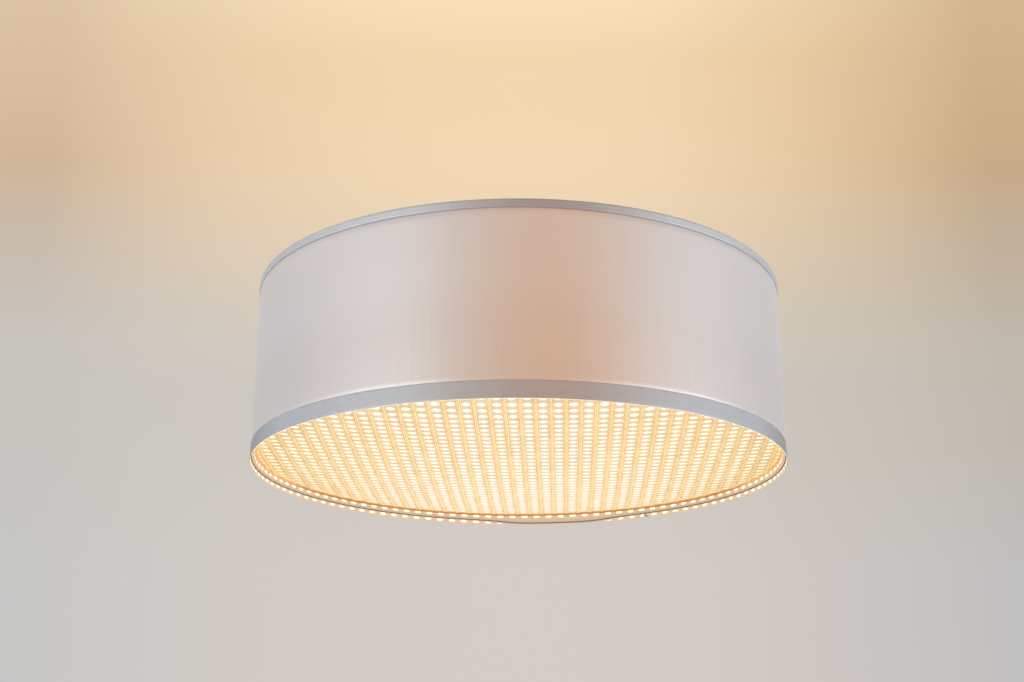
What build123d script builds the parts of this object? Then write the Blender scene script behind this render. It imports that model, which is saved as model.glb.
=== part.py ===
from build123d import *
import os
from math import cos, radians, sin, sqrt

# Drum ceiling light, in millimetres. The origin is the centre of the mounting face on the
# ceiling, +Z is up, and the lamp hangs towards -Z. Its back seam faces +Y.

# ---------------------------------------------------------------- driving dimensions
# shade
SHADE_DIAMETER = 400.0
SHADE_HEIGHT = 136.0
CEILING_GAP = 24.0
FILM_THICKNESS = 0.6
FABRIC_THICKNESS = 0.5
TAPE_THICKNESS = 0.4
TOP_TAPE_WIDTH = 6.0
BOTTOM_TAPE_WIDTH = 12.0
SEAM_WIDTH = 10.0
TOP_WIRE_DIAMETER = 4.0
BOTTOM_WIRE_DIAMETER = 4.4
LINING_THICKNESS = 0.6
LINING_HEIGHT = 16.0
PIPING_DIAMETER = 1.2
PIPING_LIFT = 0.8
LEDGE_WIRE_DIAMETER = 2.4
LEDGE_HEIGHT = 6.0

# diffuser
DIFFUSER_CLEARANCE = 0.6
SEAT_CLEARANCE = 0.3
DIFFUSER_SAG = 8.0
DISC_THICKNESS = 1.5
NET_THICKNESS = 0.8
BINDING_WIDTH = 0.8
NET_PITCH = 10.3
NET_HOLE_WIDTH = 5.8
NET_HOLE_LENGTH = 40.0
NET_BRIDGE = 4.0
NET_BORDER = 3.0

# ceiling side
PAN_DIAMETER = 200.0
PAN_DEPTH = 26.0
PAN_WALL = 1.0
PAN_LIP = 4.0
PAN_CORNER_RADIUS = 4.0
STRAP_LENGTH = 124.0
STRAP_WIDTH = 20.0
STRAP_THICKNESS = 1.5
STRAP_CORNER_RADIUS = 5.0
SLOT_SPACING = 68.0
SLOT_LENGTH = 20.0
SLOT_WIDTH = 4.5
STRAP_CABLE_HOLE = 12.0
PAN_STUD_SPACING = 108.0
PAN_STUD_DIAMETER = 4.0
PAN_STUD_REACH = 5.5
CAP_NUT_WIDTH = 8.0
CAP_NUT_HEIGHT = 8.0
COLLAR_DIAMETER = 8.0
COLLAR_HEIGHT = 2.0
GROMMET_BORE = 16.0
GROMMET_WALL = 3.0
GROMMET_LIP = 1.5
GROMMET_GROOVE = 1.5
BLOCK_SIZE = (36.0, 22.0, 15.0)
BLOCK_OFFSET = 41.0
BLOCK_POLES = 3
BLOCK_POLE_PITCH = 10.0
BLOCK_SCREW_DIAMETER = 4.0
BLOCK_SCREW_HEIGHT = 1.0
BLOCK_SLOT_WIDTH = 0.5
BLOCK_SLOT_DEPTH = 0.5
BLOCK_WELL_DEPTH = 2.0
BLOCK_GROOVE_WIDTH = 1.0
BLOCK_EDGE_RADIUS = 1.0
LEAD_DIAMETER = 3.2
LEAD_DROP = 16.0
LEAD_CIRCLE = 4.2
LEAD_ENTRY_DEPTH = 6.0
LEAD_ENTRY_CLEARANCE = 0.2
LEAD_ENTRY_RUN = 6.0
LEAD_ENTRY_RADIUS = 20.0
LEAD_TOP_RADIUS = 10.0
LEAD_LOWER_RADIUS = 15.0
LEAD_REACH = 8.0
EARTH_WIRE_DIAMETER = 2.2
EARTH_SCREW_ANGLE = 37.2
EARTH_SCREW_DIAMETER = 4.0
EARTH_HEAD_DIAMETER = 8.0
EARTH_HEAD_HEIGHT = 2.4
EARTH_SLOT_WIDTH = 1.0
EARTH_SLOT_DEPTH = 1.2
EARTH_TAG_DIAMETER = 11.0
EARTH_TAG_THICKNESS = 0.8
EARTH_TAG_CLEARANCE = 0.3
EARTH_WIRE_BEND = 8.0

# carrier of the shade
CARRIER_WIDTH = 26.0
CARRIER_THICKNESS = 1.5
CARRIER_CLEARANCE = 0.1
STUD_CIRCLE_DIAMETER = 166.0
STUD_DIAMETER = 4.0
STUD_HEAD_DIAMETER = 10.0
STUD_HEAD_HEIGHT = 1.0
STUD_END = 1.5
STUD_CLEARANCE = 0.3
TWIST_ANGLE = 14.0
KEYHOLE_CLEARANCE = 0.8
THUMB_NUT_DIAMETER = 12.0
THUMB_NUT_FLANGE = 16.0
THUMB_NUT_FLANGE_HEIGHT = 2.0
THUMB_NUT_HEIGHT = 10.0
THUMB_NUT_FLUTES = 18
THUMB_NUT_FLUTE_RADIUS = 0.7
RUNNING_CLEARANCE = 0.05
ARM_WIDTH = 12.0
ARM_SLIT_CLEARANCE = 0.3

# lamps and their holders
LAMP_COUNT = 3
FIRST_LAMP_ANGLE = -84.0
LAMP_DROP = 78.0
HOLDER_REAR = 32.0
HOLDER_LENGTH = 44.0
HOLDER_REAR_WALL = 12.0
HOLDER_REAR_RADIUS = 17.0
HOLDER_MOUTH_RADIUS = 19.0
HOLDER_MOUTH_BORE = 32.0
HOLDER_MOUTH_DEPTH = 2.0
HOLDER_RIB_COUNT = 3
HOLDER_RIB_WIDTH = 2.2
HOLDER_RIB_PITCH = 4.0
HOLDER_RIB_HEIGHT = 0.8
SPIGOT_LENGTH = 10.0
SPIGOT_DIAMETER = 10.0
SPIGOT_BORE = 5.2
RING_NUT_WIDTH = 15.0
RING_NUT_HEIGHT = 4.0
BRACKET_THICKNESS = 1.5
BRACKET_WIDTH = 28.0
BRACKET_FOOT = 20.0
RIVET_DIAMETER = 3.2
RIVET_HEAD_DIAMETER = 6.0
RIVET_HEAD_HEIGHT = 1.0
RIVET_SPACING = 14.0
SHELL_RADIUS = 13.5
SHELL_WALL = 0.5
SHELL_LENGTH = 24.0
SHELL_FIT = 0.1
CONTACT_STRIP = 0.6
CONTACT_WIDTH = 5.0
CONTACT_GAP = 0.3
CONTACT_ROOT_DROP = 8.1
CONTACT_ROOT_HEIGHT = 2.8
CONTACT_PAD = 4.8
CONTACT_BEND_DROP = 0.4
CAP_CREST_RADIUS = 13.1
CAP_ROOT_RADIUS = 12.3
CAP_WALL = 0.5
CAP_LENGTH = 23.0
CAP_THREADS = 5
CAP_THREAD_PITCH = 3.6
TIP_RADIUS = 4.8
TIP_HEIGHT = 1.5
INSULATOR_HEIGHT = 4.0
INSULATOR_RADIUS = 10.5
LAMP_LENGTH = 105.0
GLOBE_RADIUS = 30.0
GLOBE_WALL = 1.2
GLOBE_CUT = 13.0
NECK_RADIUS = 13.3
NECK_WAIST = 1.0

# how far a cutting shape runs past what it cuts
CUT_MARGIN = 1.0

# ---------------------------------------------------------------- worked-out places
shade_radius = SHADE_DIAMETER / 2
fabric_radius = shade_radius - TAPE_THICKNESS
film_radius = fabric_radius - FABRIC_THICKNESS
film_inner = film_radius - FILM_THICKNESS
top_wire_radius = film_inner - TOP_WIRE_DIAMETER / 2
bottom_wire_radius = film_inner - BOTTOM_WIRE_DIAMETER / 2
top_hem_inner = film_inner - TOP_WIRE_DIAMETER
lining_inner = film_inner - BOTTOM_WIRE_DIAMETER - LINING_THICKNESS

top_rim = -CEILING_GAP
bottom_rim = top_rim - SHADE_HEIGHT
wall_top = top_rim - TAPE_THICKNESS
wall_bottom = bottom_rim + LINING_THICKNESS
top_wire_z = wall_top - TOP_WIRE_DIAMETER / 2
bottom_wire_z = wall_bottom + BOTTOM_WIRE_DIAMETER / 2
ledge_radius = lining_inner - LEDGE_WIRE_DIAMETER / 2
ledge_z = bottom_rim + LEDGE_HEIGHT

diffuser_radius = lining_inner - DIFFUSER_CLEARANCE
disc_radius = diffuser_radius - BINDING_WIDTH
dome_radius = (diffuser_radius**2 + DIFFUSER_SAG**2) / (2 * DIFFUSER_SAG)
diffuser_low = ledge_z + LEDGE_WIRE_DIAMETER / 2 + SEAT_CLEARANCE - DIFFUSER_SAG

pan_radius = PAN_DIAMETER / 2
pan_floor = -PAN_DEPTH + PAN_WALL
carrier_top = -PAN_DEPTH - CARRIER_CLEARANCE
carrier_bottom = carrier_top - CARRIER_THICKNESS
thumb_nut_top = carrier_bottom - CARRIER_CLEARANCE
thumb_nut_bottom = thumb_nut_top - THUMB_NUT_HEIGHT
stud_circle = STUD_CIRCLE_DIAMETER / 2
carrier_outer = stud_circle + CARRIER_WIDTH / 2
carrier_inner = stud_circle - CARRIER_WIDTH / 2
block_low = pan_floor
block_face = BLOCK_OFFSET - BLOCK_SIZE[1] / 2
block_high = block_low + BLOCK_SIZE[2]

lamp_tip = HOLDER_REAR + HOLDER_REAR_WALL + CONTACT_STRIP * 2 + CONTACT_GAP + TIP_HEIGHT * 2
holder_mouth = HOLDER_REAR + HOLDER_LENGTH
cap_start = lamp_tip + INSULATOR_HEIGHT
cap_end = cap_start + CAP_LENGTH
globe_centre = lamp_tip + LAMP_LENGTH - GLOBE_RADIUS
globe_start = globe_centre - GLOBE_CUT
globe_edge_radius = sqrt(GLOBE_RADIUS**2 - GLOBE_CUT**2)
lamp_angles = [FIRST_LAMP_ANGLE + i * 360 / LAMP_COUNT for i in range(LAMP_COUNT)]
stud_angles = [angle + 180 / LAMP_COUNT for angle in lamp_angles]


# ---------------------------------------------------------------- helpers
def save(node, *solids):
    """Write one node; several separate solids become one group."""
    shape = solids[0] if len(solids) == 1 else Compound(children=list(solids))
    shape.label = node
    export_step(shape, f"parts/{node}.step")


def rod(radius, low, high):
    """Solid cylinder on the Z axis."""
    return Pos(0, 0, (low + high) / 2) * Cylinder(radius, high - low)


def long_rod(radius, low, high):
    """Cylinder that cuts right through between two heights."""
    return rod(radius, low - CUT_MARGIN, high + CUT_MARGIN)


def tube(outer, inner, low, high):
    """Cylinder wall on the Z axis."""
    return rod(outer, low, high) - long_rod(inner, low, high)


def block(x_range, y_range, z_range):
    """Box between two limits on each axis."""
    sizes = [high - low for low, high in (x_range, y_range, z_range)]
    middle = [(low + high) / 2 for low, high in (x_range, y_range, z_range)]
    return Pos(*middle) * Box(*sizes)


def hexagon_nut(width, bore, low, high):
    """Hexagonal prism with a bore; width is across the flats."""
    prism = extrude(RegularPolygon(width / 2, 6, major_radius=False), high - low)
    return Pos(0, 0, low) * prism - long_rod(bore / 2, low, high)


def wire_ring(centre_radius, wire_diameter, z):
    """Closed ring of round wire."""
    return Pos(0, 0, z) * Torus(centre_radius, wire_diameter / 2)


def turned_section(*edges):
    """Solid of revolution about Z, from edges drawn as (radius, height)."""
    return revolve(Plane.XZ * make_face(edges), Axis.Z)


def turned_along_x(*edges):
    """Solid of revolution about X, from edges drawn as (x, radius)."""
    return revolve(make_face(edges), Axis.X)


def at_angle(angle, shape):
    """Turn a shape about the lamp's axis."""
    return Rot(0, 0, angle) * shape


def radial(shape):
    """Lay a shape made on +Z along +X, at the height of the lamp bulbs."""
    return Pos(0, 0, -LAMP_DROP) * Rot(0, 90, 0) * shape


def on_circle(radius, angle):
    """Point of a circle about the lamp's axis."""
    return radius * cos(radians(angle)), radius * sin(radians(angle))


def screw_slot(diameter, width, low, high):
    """Straight slot cut across a screw's head."""
    return block((-diameter, diameter), (-width / 2, width / 2), (low, high + CUT_MARGIN))


def round_wire(path, diameter):
    """Wire or lead of round section along a path."""
    section = Plane(origin=path @ 0, z_dir=path % 0) * Circle(diameter / 2)
    return sweep(section, path=path)


# ---------------------------------------------------------------- ceiling side
def mounting_strap():
    strap = block(
        (-STRAP_LENGTH / 2, STRAP_LENGTH / 2),
        (-STRAP_WIDTH / 2, STRAP_WIDTH / 2),
        (-STRAP_THICKNESS, 0),
    )
    upright = strap.edges().filter_by(Axis.Z)
    strap = fillet(upright, STRAP_CORNER_RADIUS)
    slots = [
        Pos(side * SLOT_SPACING / 2, 0) * SlotOverall(SLOT_LENGTH, SLOT_WIDTH) for side in (-1, 1)
    ]
    holes = [Pos(side * PAN_STUD_SPACING / 2, 0) * Circle(PAN_STUD_DIAMETER / 2) for side in (-1, 1)]
    openings = slots + holes + [Circle(STRAP_CABLE_HOLE / 2)]
    for opening in openings:
        strap -= extrude(opening, STRAP_THICKNESS, both=True)
    return strap


def pan_studs():
    low = -PAN_DEPTH - PAN_STUD_REACH
    stud = rod(PAN_STUD_DIAMETER / 2, low, 0)
    collar = tube(
        COLLAR_DIAMETER / 2, PAN_STUD_DIAMETER / 2, -STRAP_THICKNESS - COLLAR_HEIGHT, -STRAP_THICKNESS
    )
    return [Pos(side * PAN_STUD_SPACING / 2, 0, 0) * (stud + collar) for side in (-1, 1)]


def cap_nuts():
    body_low = -PAN_DEPTH - CAP_NUT_HEIGHT + CAP_NUT_WIDTH / 2
    bore_low = -PAN_DEPTH - PAN_STUD_REACH
    body = hexagon_nut(CAP_NUT_WIDTH, PAN_STUD_DIAMETER, body_low, -PAN_DEPTH)
    ball = Pos(0, 0, body_low) * Sphere(CAP_NUT_WIDTH / 2)
    ball -= rod(CAP_NUT_WIDTH, body_low, body_low + CAP_NUT_WIDTH)
    ball -= rod(PAN_STUD_DIAMETER / 2, bore_low, -PAN_DEPTH)
    nut = body + ball
    return [Pos(side * PAN_STUD_SPACING / 2, 0, 0) * nut for side in (-1, 1)]


def base_pan():
    outer = rod(pan_radius, -PAN_DEPTH, 0)
    outer = fillet(outer.edges().sort_by(Axis.Z)[0], PAN_CORNER_RADIUS)
    hollow = rod(pan_radius - PAN_WALL, pan_floor, -PAN_WALL)
    hollow = fillet(hollow.edges().sort_by(Axis.Z)[0], PAN_CORNER_RADIUS - PAN_WALL)
    pan = outer - hollow - long_rod(pan_radius - PAN_LIP, -PAN_WALL, 0)

    def hole(diameter):
        return long_rod(diameter / 2, -PAN_DEPTH, pan_floor)

    pan -= hole(GROMMET_BORE + 2 * (GROMMET_WALL - GROMMET_GROOVE))
    for side in (-1, 1):
        pan -= Pos(side * PAN_STUD_SPACING / 2, 0) * hole(PAN_STUD_DIAMETER + 2 * STUD_CLEARANCE)
    for angle in stud_angles:
        pan -= Pos(*on_circle(stud_circle, angle)) * hole(STUD_DIAMETER)
    for angle in lamp_angles:
        for place in rivet_places():
            pan -= at_angle(angle, Pos(*place) * hole(RIVET_DIAMETER))
    return pan - Pos(*earth_place()) * hole(EARTH_SCREW_DIAMETER)


def cable_grommet():
    inner = GROMMET_BORE / 2
    outer = inner + GROMMET_WALL
    groove = outer - GROMMET_GROOVE
    top = pan_floor + GROMMET_LIP
    bottom = -PAN_DEPTH - GROMMET_LIP
    outline = Polyline(
        (inner, bottom),
        (outer, bottom),
        (outer, -PAN_DEPTH),
        (groove, -PAN_DEPTH),
        (groove, pan_floor),
        (outer, pan_floor),
        (outer, top),
        (inner, top),
        close=True,
    )
    return turned_section(outline)


def pole_places():
    return [(pole - (BLOCK_POLES - 1) / 2) * BLOCK_POLE_PITCH for pole in range(BLOCK_POLES)]


def terminal_block():
    length, depth, _ = BLOCK_SIZE
    body = block(
        (-length / 2, length / 2),
        (BLOCK_OFFSET - depth / 2, BLOCK_OFFSET + depth / 2),
        (block_low, block_high),
    )
    body = fillet(body.edges().filter_by(Axis.Z), BLOCK_EDGE_RADIUS)
    well = rod(BLOCK_SCREW_DIAMETER / 2, block_high - BLOCK_WELL_DEPTH, block_high + CUT_MARGIN)
    entry = rod(LEAD_DIAMETER / 2 + LEAD_ENTRY_CLEARANCE, -LEAD_ENTRY_DEPTH, CUT_MARGIN)
    groove = block(
        (-BLOCK_GROOVE_WIDTH / 2, BLOCK_GROOVE_WIDTH / 2),
        (BLOCK_OFFSET - depth, BLOCK_OFFSET + depth),
        (block_high - BLOCK_WELL_DEPTH, block_high + CUT_MARGIN),
    )
    for x in pole_places():
        for row in (-1, 1):
            body -= Pos(x, BLOCK_OFFSET + row * depth / 4, 0) * well
        body -= Pos(x, block_face, -LEAD_DROP) * Rot(90, 0, 0) * entry
    for x in pole_places()[:-1]:
        body -= Pos(x + BLOCK_POLE_PITCH / 2, 0, 0) * groove
    return body


def terminal_screws():
    seat = block_high - BLOCK_WELL_DEPTH
    top = seat + BLOCK_SCREW_HEIGHT
    head = rod(BLOCK_SCREW_DIAMETER / 2, seat, top)
    head -= screw_slot(BLOCK_SCREW_DIAMETER, BLOCK_SLOT_WIDTH, top - BLOCK_SLOT_DEPTH, top)
    rows = [BLOCK_OFFSET + side * BLOCK_SIZE[1] / 4 for side in (-1, 1)]
    return [Pos(x, y, 0) * head for x in pole_places() for y in rows]


def earth_place():
    """The earth screw stands midway between a bracket's foot and the carrier ring."""
    foot_end = HOLDER_REAR + BRACKET_FOOT
    return on_circle((foot_end + carrier_inner) / 2, EARTH_SCREW_ANGLE)


def earth_screw():
    shank_low = -PAN_DEPTH - EARTH_HEAD_HEIGHT
    head_low = pan_floor + EARTH_TAG_THICKNESS
    head_high = head_low + EARTH_HEAD_HEIGHT
    shank = rod(EARTH_SCREW_DIAMETER / 2, shank_low, head_low)
    head = rod(EARTH_HEAD_DIAMETER / 2, head_low, head_high)
    head -= screw_slot(EARTH_HEAD_DIAMETER, EARTH_SLOT_WIDTH, head_high - EARTH_SLOT_DEPTH, head_high)
    nut = hexagon_nut(EARTH_HEAD_DIAMETER, EARTH_SCREW_DIAMETER, shank_low, -PAN_DEPTH)
    return Pos(*earth_place()) * (shank + head + nut)


def earth_wire():
    screw_x, screw_y = earth_place()
    wire_end = screw_x - EARTH_HEAD_DIAMETER / 2 - EARTH_TAG_CLEARANCE
    start_x = BLOCK_SIZE[0] / 2
    low_z = pan_floor + EARTH_WIRE_DIAMETER / 2
    high_z = (block_low + block_high) / 2
    third = (wire_end - start_x) / 3
    points = [
        (start_x, screw_y, high_z),
        (start_x + third, screw_y, high_z),
        (start_x + 2 * third, screw_y, low_z),
        (wire_end, screw_y, low_z),
    ]
    wire = round_wire(FilletPolyline(*points, radius=EARTH_WIRE_BEND), EARTH_WIRE_DIAMETER)
    tag = tube(
        EARTH_TAG_DIAMETER / 2, EARTH_SCREW_DIAMETER / 2, pan_floor, pan_floor + EARTH_TAG_THICKNESS
    )
    return wire + Pos(screw_x, screw_y, 0) * tag


def rivet_places():
    """Rivets of one lampholder bracket, for a bracket at angle 0."""
    middle = HOLDER_REAR + BRACKET_FOOT / 2
    return [(middle, side * RIVET_SPACING / 2) for side in (-1, 1)]


def bracket_rivets():
    top_head = pan_floor + RIVET_HEAD_HEIGHT
    low_face = -PAN_DEPTH - BRACKET_THICKNESS
    shank = rod(RIVET_DIAMETER / 2, low_face, pan_floor)
    heads = rod(RIVET_HEAD_DIAMETER / 2, pan_floor, top_head)
    heads += rod(RIVET_HEAD_DIAMETER / 2, low_face - RIVET_HEAD_HEIGHT, low_face)
    rivet = shank + heads
    return [
        at_angle(angle, Pos(*place) * rivet) for angle in lamp_angles for place in rivet_places()
    ]


def holder_bracket():
    rear = HOLDER_REAR - BRACKET_THICKNESS
    half = BRACKET_WIDTH / 2
    foot = block(
        (rear, HOLDER_REAR + BRACKET_FOOT),
        (-half, half),
        (-PAN_DEPTH - BRACKET_THICKNESS, -PAN_DEPTH),
    )
    plate = block((rear, HOLDER_REAR), (-half, half), (-LAMP_DROP, -PAN_DEPTH))
    plate += radial(rod(half, rear, HOLDER_REAR))
    bracket = foot + plate
    bracket -= radial(long_rod(SPIGOT_DIAMETER / 2, rear, HOLDER_REAR))
    for place in rivet_places():
        hole = long_rod(RIVET_DIAMETER / 2, -PAN_DEPTH - BRACKET_THICKNESS, -PAN_DEPTH)
        bracket -= Pos(*place) * hole
    return bracket


def shade_studs():
    head_top = pan_floor + STUD_HEAD_HEIGHT
    stud = rod(STUD_DIAMETER / 2, thumb_nut_bottom - STUD_END, pan_floor)
    stud += rod(STUD_HEAD_DIAMETER / 2, pan_floor, head_top)
    return [Pos(*on_circle(stud_circle, angle)) * stud for angle in stud_angles]


def thumb_nut():
    flange_low = thumb_nut_top - THUMB_NUT_FLANGE_HEIGHT
    nut = rod(THUMB_NUT_FLANGE / 2, flange_low, thumb_nut_top)
    grip = rod(THUMB_NUT_DIAMETER / 2, thumb_nut_bottom, flange_low)
    flutes = PolarLocations(THUMB_NUT_DIAMETER / 2, THUMB_NUT_FLUTES)
    for flute in flutes:
        grip -= flute * long_rod(THUMB_NUT_FLUTE_RADIUS, thumb_nut_bottom, flange_low)
    bore = long_rod(STUD_DIAMETER / 2 + RUNNING_CLEARANCE, thumb_nut_bottom, thumb_nut_top)
    return nut + grip - bore


# ---------------------------------------------------------------- lampholders and lamps
def lampholder():
    outline = Polyline(
        (HOLDER_REAR, SPIGOT_BORE / 2),
        (HOLDER_REAR, HOLDER_REAR_RADIUS),
        (HOLDER_REAR + HOLDER_REAR_WALL, HOLDER_REAR_RADIUS),
        (holder_mouth, HOLDER_MOUTH_RADIUS),
        (holder_mouth, HOLDER_MOUTH_BORE / 2),
        (holder_mouth - HOLDER_MOUTH_DEPTH, HOLDER_MOUTH_BORE / 2),
        (holder_mouth - HOLDER_MOUTH_DEPTH, SHELL_RADIUS + SHELL_WALL + SHELL_FIT),
        (HOLDER_REAR + HOLDER_REAR_WALL, SHELL_RADIUS + SHELL_WALL + SHELL_FIT),
        (HOLDER_REAR + HOLDER_REAR_WALL, SPIGOT_BORE / 2),
        close=True,
    )
    body = turned_along_x(outline)
    for rib in range(HOLDER_RIB_COUNT):
        x = HOLDER_REAR + (rib + 0.5) * HOLDER_RIB_PITCH
        body += turned_along_x(
            Polyline(
                (x, HOLDER_REAR_RADIUS - HOLDER_RIB_HEIGHT),
                (x, HOLDER_REAR_RADIUS + HOLDER_RIB_HEIGHT),
                (x + HOLDER_RIB_WIDTH, HOLDER_REAR_RADIUS + HOLDER_RIB_HEIGHT),
                (x + HOLDER_RIB_WIDTH, HOLDER_REAR_RADIUS - HOLDER_RIB_HEIGHT),
                close=True,
            )
        )
    spigot = tube(SPIGOT_DIAMETER / 2, SPIGOT_BORE / 2, HOLDER_REAR - SPIGOT_LENGTH, HOLDER_REAR)
    return Pos(0, 0, -LAMP_DROP) * body + radial(spigot)


def ring_nut():
    high = HOLDER_REAR - BRACKET_THICKNESS
    return radial(hexagon_nut(RING_NUT_WIDTH, SPIGOT_DIAMETER, high - RING_NUT_HEIGHT, high))


def screw_shell():
    high = holder_mouth - HOLDER_MOUTH_DEPTH
    return radial(tube(SHELL_RADIUS + SHELL_WALL, SHELL_RADIUS, high - SHELL_LENGTH, high))


def spring_contact():
    rear = HOLDER_REAR + HOLDER_REAR_WALL
    front = lamp_tip - CONTACT_GAP
    bend = CONTACT_ROOT_HEIGHT - CONTACT_ROOT_DROP
    outline = Polyline(
        (rear, -CONTACT_ROOT_DROP),
        (rear + CONTACT_STRIP, -CONTACT_ROOT_DROP),
        (rear + CONTACT_STRIP, bend - CONTACT_BEND_DROP),
        (front, -CONTACT_PAD / 2),
        (front, CONTACT_PAD / 2),
        (front - CONTACT_STRIP, CONTACT_PAD / 2),
        (front - CONTACT_STRIP, CONTACT_BEND_DROP - CONTACT_PAD / 2),
        (rear, bend),
        close=True,
    )
    strip = extrude(Plane.XZ * make_face(outline), CONTACT_WIDTH / 2, both=True)
    return Pos(0, 0, -LAMP_DROP) * strip


def end_contact():
    tip = rod(TIP_RADIUS, lamp_tip, lamp_tip + TIP_HEIGHT)
    return radial(fillet(tip.edges().sort_by(Axis.Z)[0], TIP_HEIGHT / 2))


def lamp_cap():
    """Screw cap with its insulator; the thread is drawn as rolled rings."""
    ring_start = cap_end - CAP_THREADS * CAP_THREAD_PITCH - TIP_HEIGHT
    edges = [
        Line((lamp_tip + TIP_HEIGHT, 0), (lamp_tip + TIP_HEIGHT, TIP_RADIUS)),
        Line((lamp_tip + TIP_HEIGHT, TIP_RADIUS), (cap_start, INSULATOR_RADIUS)),
        Line((cap_start, INSULATOR_RADIUS), (ring_start, CAP_ROOT_RADIUS)),
    ]
    for ring in range(CAP_THREADS):
        start = ring_start + ring * CAP_THREAD_PITCH
        middle = start + CAP_THREAD_PITCH / 2
        end = start + CAP_THREAD_PITCH
        edges.append(
            ThreePointArc((start, CAP_ROOT_RADIUS), (middle, CAP_CREST_RADIUS), (end, CAP_ROOT_RADIUS))
        )
    ring_end = ring_start + CAP_THREADS * CAP_THREAD_PITCH
    edges += [
        Line((ring_end, CAP_ROOT_RADIUS), (cap_end, CAP_ROOT_RADIUS)),
        Line((cap_end, CAP_ROOT_RADIUS), (cap_end, 0)),
        Line((cap_end, 0), (lamp_tip + TIP_HEIGHT, 0)),
    ]
    cap = Pos(0, 0, -LAMP_DROP) * turned_along_x(*edges)
    return cap - radial(rod(CAP_ROOT_RADIUS - CAP_WALL, ring_start, cap_end + CUT_MARGIN))


def lamp_body():
    swell_start = holder_mouth + TIP_HEIGHT
    swell_middle = (swell_start + globe_start) / 2
    swell_radius = (NECK_RADIUS + globe_edge_radius) / 2 - NECK_WAIST
    edges = [
        Line((cap_end, 0), (cap_end, NECK_RADIUS)),
        Line((cap_end, NECK_RADIUS), (swell_start, NECK_RADIUS)),
        ThreePointArc(
            (swell_start, NECK_RADIUS),
            (swell_middle, swell_radius),
            (globe_start, globe_edge_radius),
        ),
        Line((globe_start, globe_edge_radius), (globe_start, 0)),
        Line((globe_start, 0), (cap_end, 0)),
    ]
    return Pos(0, 0, -LAMP_DROP) * turned_along_x(*edges)


def lamp_globe():
    inner = GLOBE_RADIUS - GLOBE_WALL
    globe = Sphere(GLOBE_RADIUS) - Sphere(inner)
    globe -= rod(2 * GLOBE_RADIUS, -2 * GLOBE_RADIUS, -GLOBE_CUT)
    return Pos(0, 0, -LAMP_DROP) * Pos(globe_centre, 0, 0) * Rot(0, 90, 0) * globe


def lamp_lead(angle, pole_x):
    column = on_circle(LEAD_CIRCLE, angle)
    end = on_circle(HOLDER_REAR + LEAD_REACH, angle)
    points = [
        (pole_x, block_face + LEAD_ENTRY_DEPTH - LEAD_ENTRY_CLEARANCE, -LEAD_DROP),
        (pole_x, block_face - LEAD_ENTRY_RUN, -LEAD_DROP),
        (*column, -LEAD_DROP),
        (*column, -LAMP_DROP),
        (*end, -LAMP_DROP),
    ]
    bends = [LEAD_ENTRY_RADIUS, LEAD_TOP_RADIUS, LEAD_LOWER_RADIUS]
    return round_wire(FilletPolyline(*points, radius=bends), LEAD_DIAMETER)


# ---------------------------------------------------------------- shade
def carrier_ring():
    ring = tube(carrier_outer, carrier_inner, carrier_bottom, carrier_top)
    slot_width = STUD_DIAMETER + 2 * STUD_CLEARANCE
    hole = long_rod(THUMB_NUT_FLANGE / 2 + KEYHOLE_CLEARANCE, carrier_bottom, carrier_top)
    for angle in stud_angles:
        centre_line = CenterArc((0, 0), stud_circle, angle - TWIST_ANGLE, TWIST_ANGLE)
        slot = Pos(0, 0, carrier_bottom) * SlotArc(centre_line, slot_width)
        ring -= extrude(slot, CARRIER_THICKNESS + CUT_MARGIN, both=True)
        ring -= Pos(*on_circle(stud_circle, angle - TWIST_ANGLE)) * hole
    return ring


def arm_box(clearance, outer_radius):
    half = ARM_WIDTH / 2 + clearance
    return block(
        (stud_circle, outer_radius),
        (-half, half),
        (carrier_bottom - clearance, carrier_top + clearance),
    )


def shade_arm():
    """Flat arm, butted on the carrier ring and on the top wire."""
    arm = arm_box(0, top_wire_radius)
    arm -= long_rod(carrier_outer, carrier_bottom, carrier_top)
    return arm - wire_ring(top_wire_radius, TOP_WIRE_DIAMETER, top_wire_z)


def top_tape():
    outside = tube(shade_radius, fabric_radius, top_rim - TOP_TAPE_WIDTH, top_rim)
    over = tube(fabric_radius, top_hem_inner, wall_top, top_rim)
    inside = tube(
        top_hem_inner, top_hem_inner - TAPE_THICKNESS, top_rim - TOP_TAPE_WIDTH, top_rim
    )
    tape = outside + over + inside
    for angle in lamp_angles:
        tape -= at_angle(angle, arm_box(ARM_SLIT_CLEARANCE, top_wire_radius))
    return tape


def bottom_tape():
    return tube(shade_radius, fabric_radius, bottom_rim, bottom_rim + BOTTOM_TAPE_WIDTH)


def back_seam():
    """Glued overlap of the fabric, between the two tapes."""
    strip = tube(
        shade_radius, fabric_radius, bottom_rim + BOTTOM_TAPE_WIDTH, top_rim - TOP_TAPE_WIDTH
    )
    half = SEAM_WIDTH / 2
    return strip & block((-half, half), (0, shade_radius * 2), (bottom_rim, top_rim))


def rim_lining():
    """Net cloth that lines the lower wall and goes under the bottom wire."""
    inside = tube(
        lining_inner + LINING_THICKNESS, lining_inner, bottom_rim, bottom_rim + LINING_HEIGHT
    )
    under = tube(fabric_radius, lining_inner, bottom_rim, wall_bottom)
    return inside + under


def rim_piping():
    return wire_ring(
        lining_inner - PIPING_DIAMETER / 2, PIPING_DIAMETER, bottom_rim + PIPING_LIFT
    )


# ---------------------------------------------------------------- diffuser
def dome_height(radius, offset):
    """Height of the dome, or of a layer lying offset above its lower face."""
    return diffuser_low + offset + dome_radius - sqrt(dome_radius**2 - radius**2)


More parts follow.
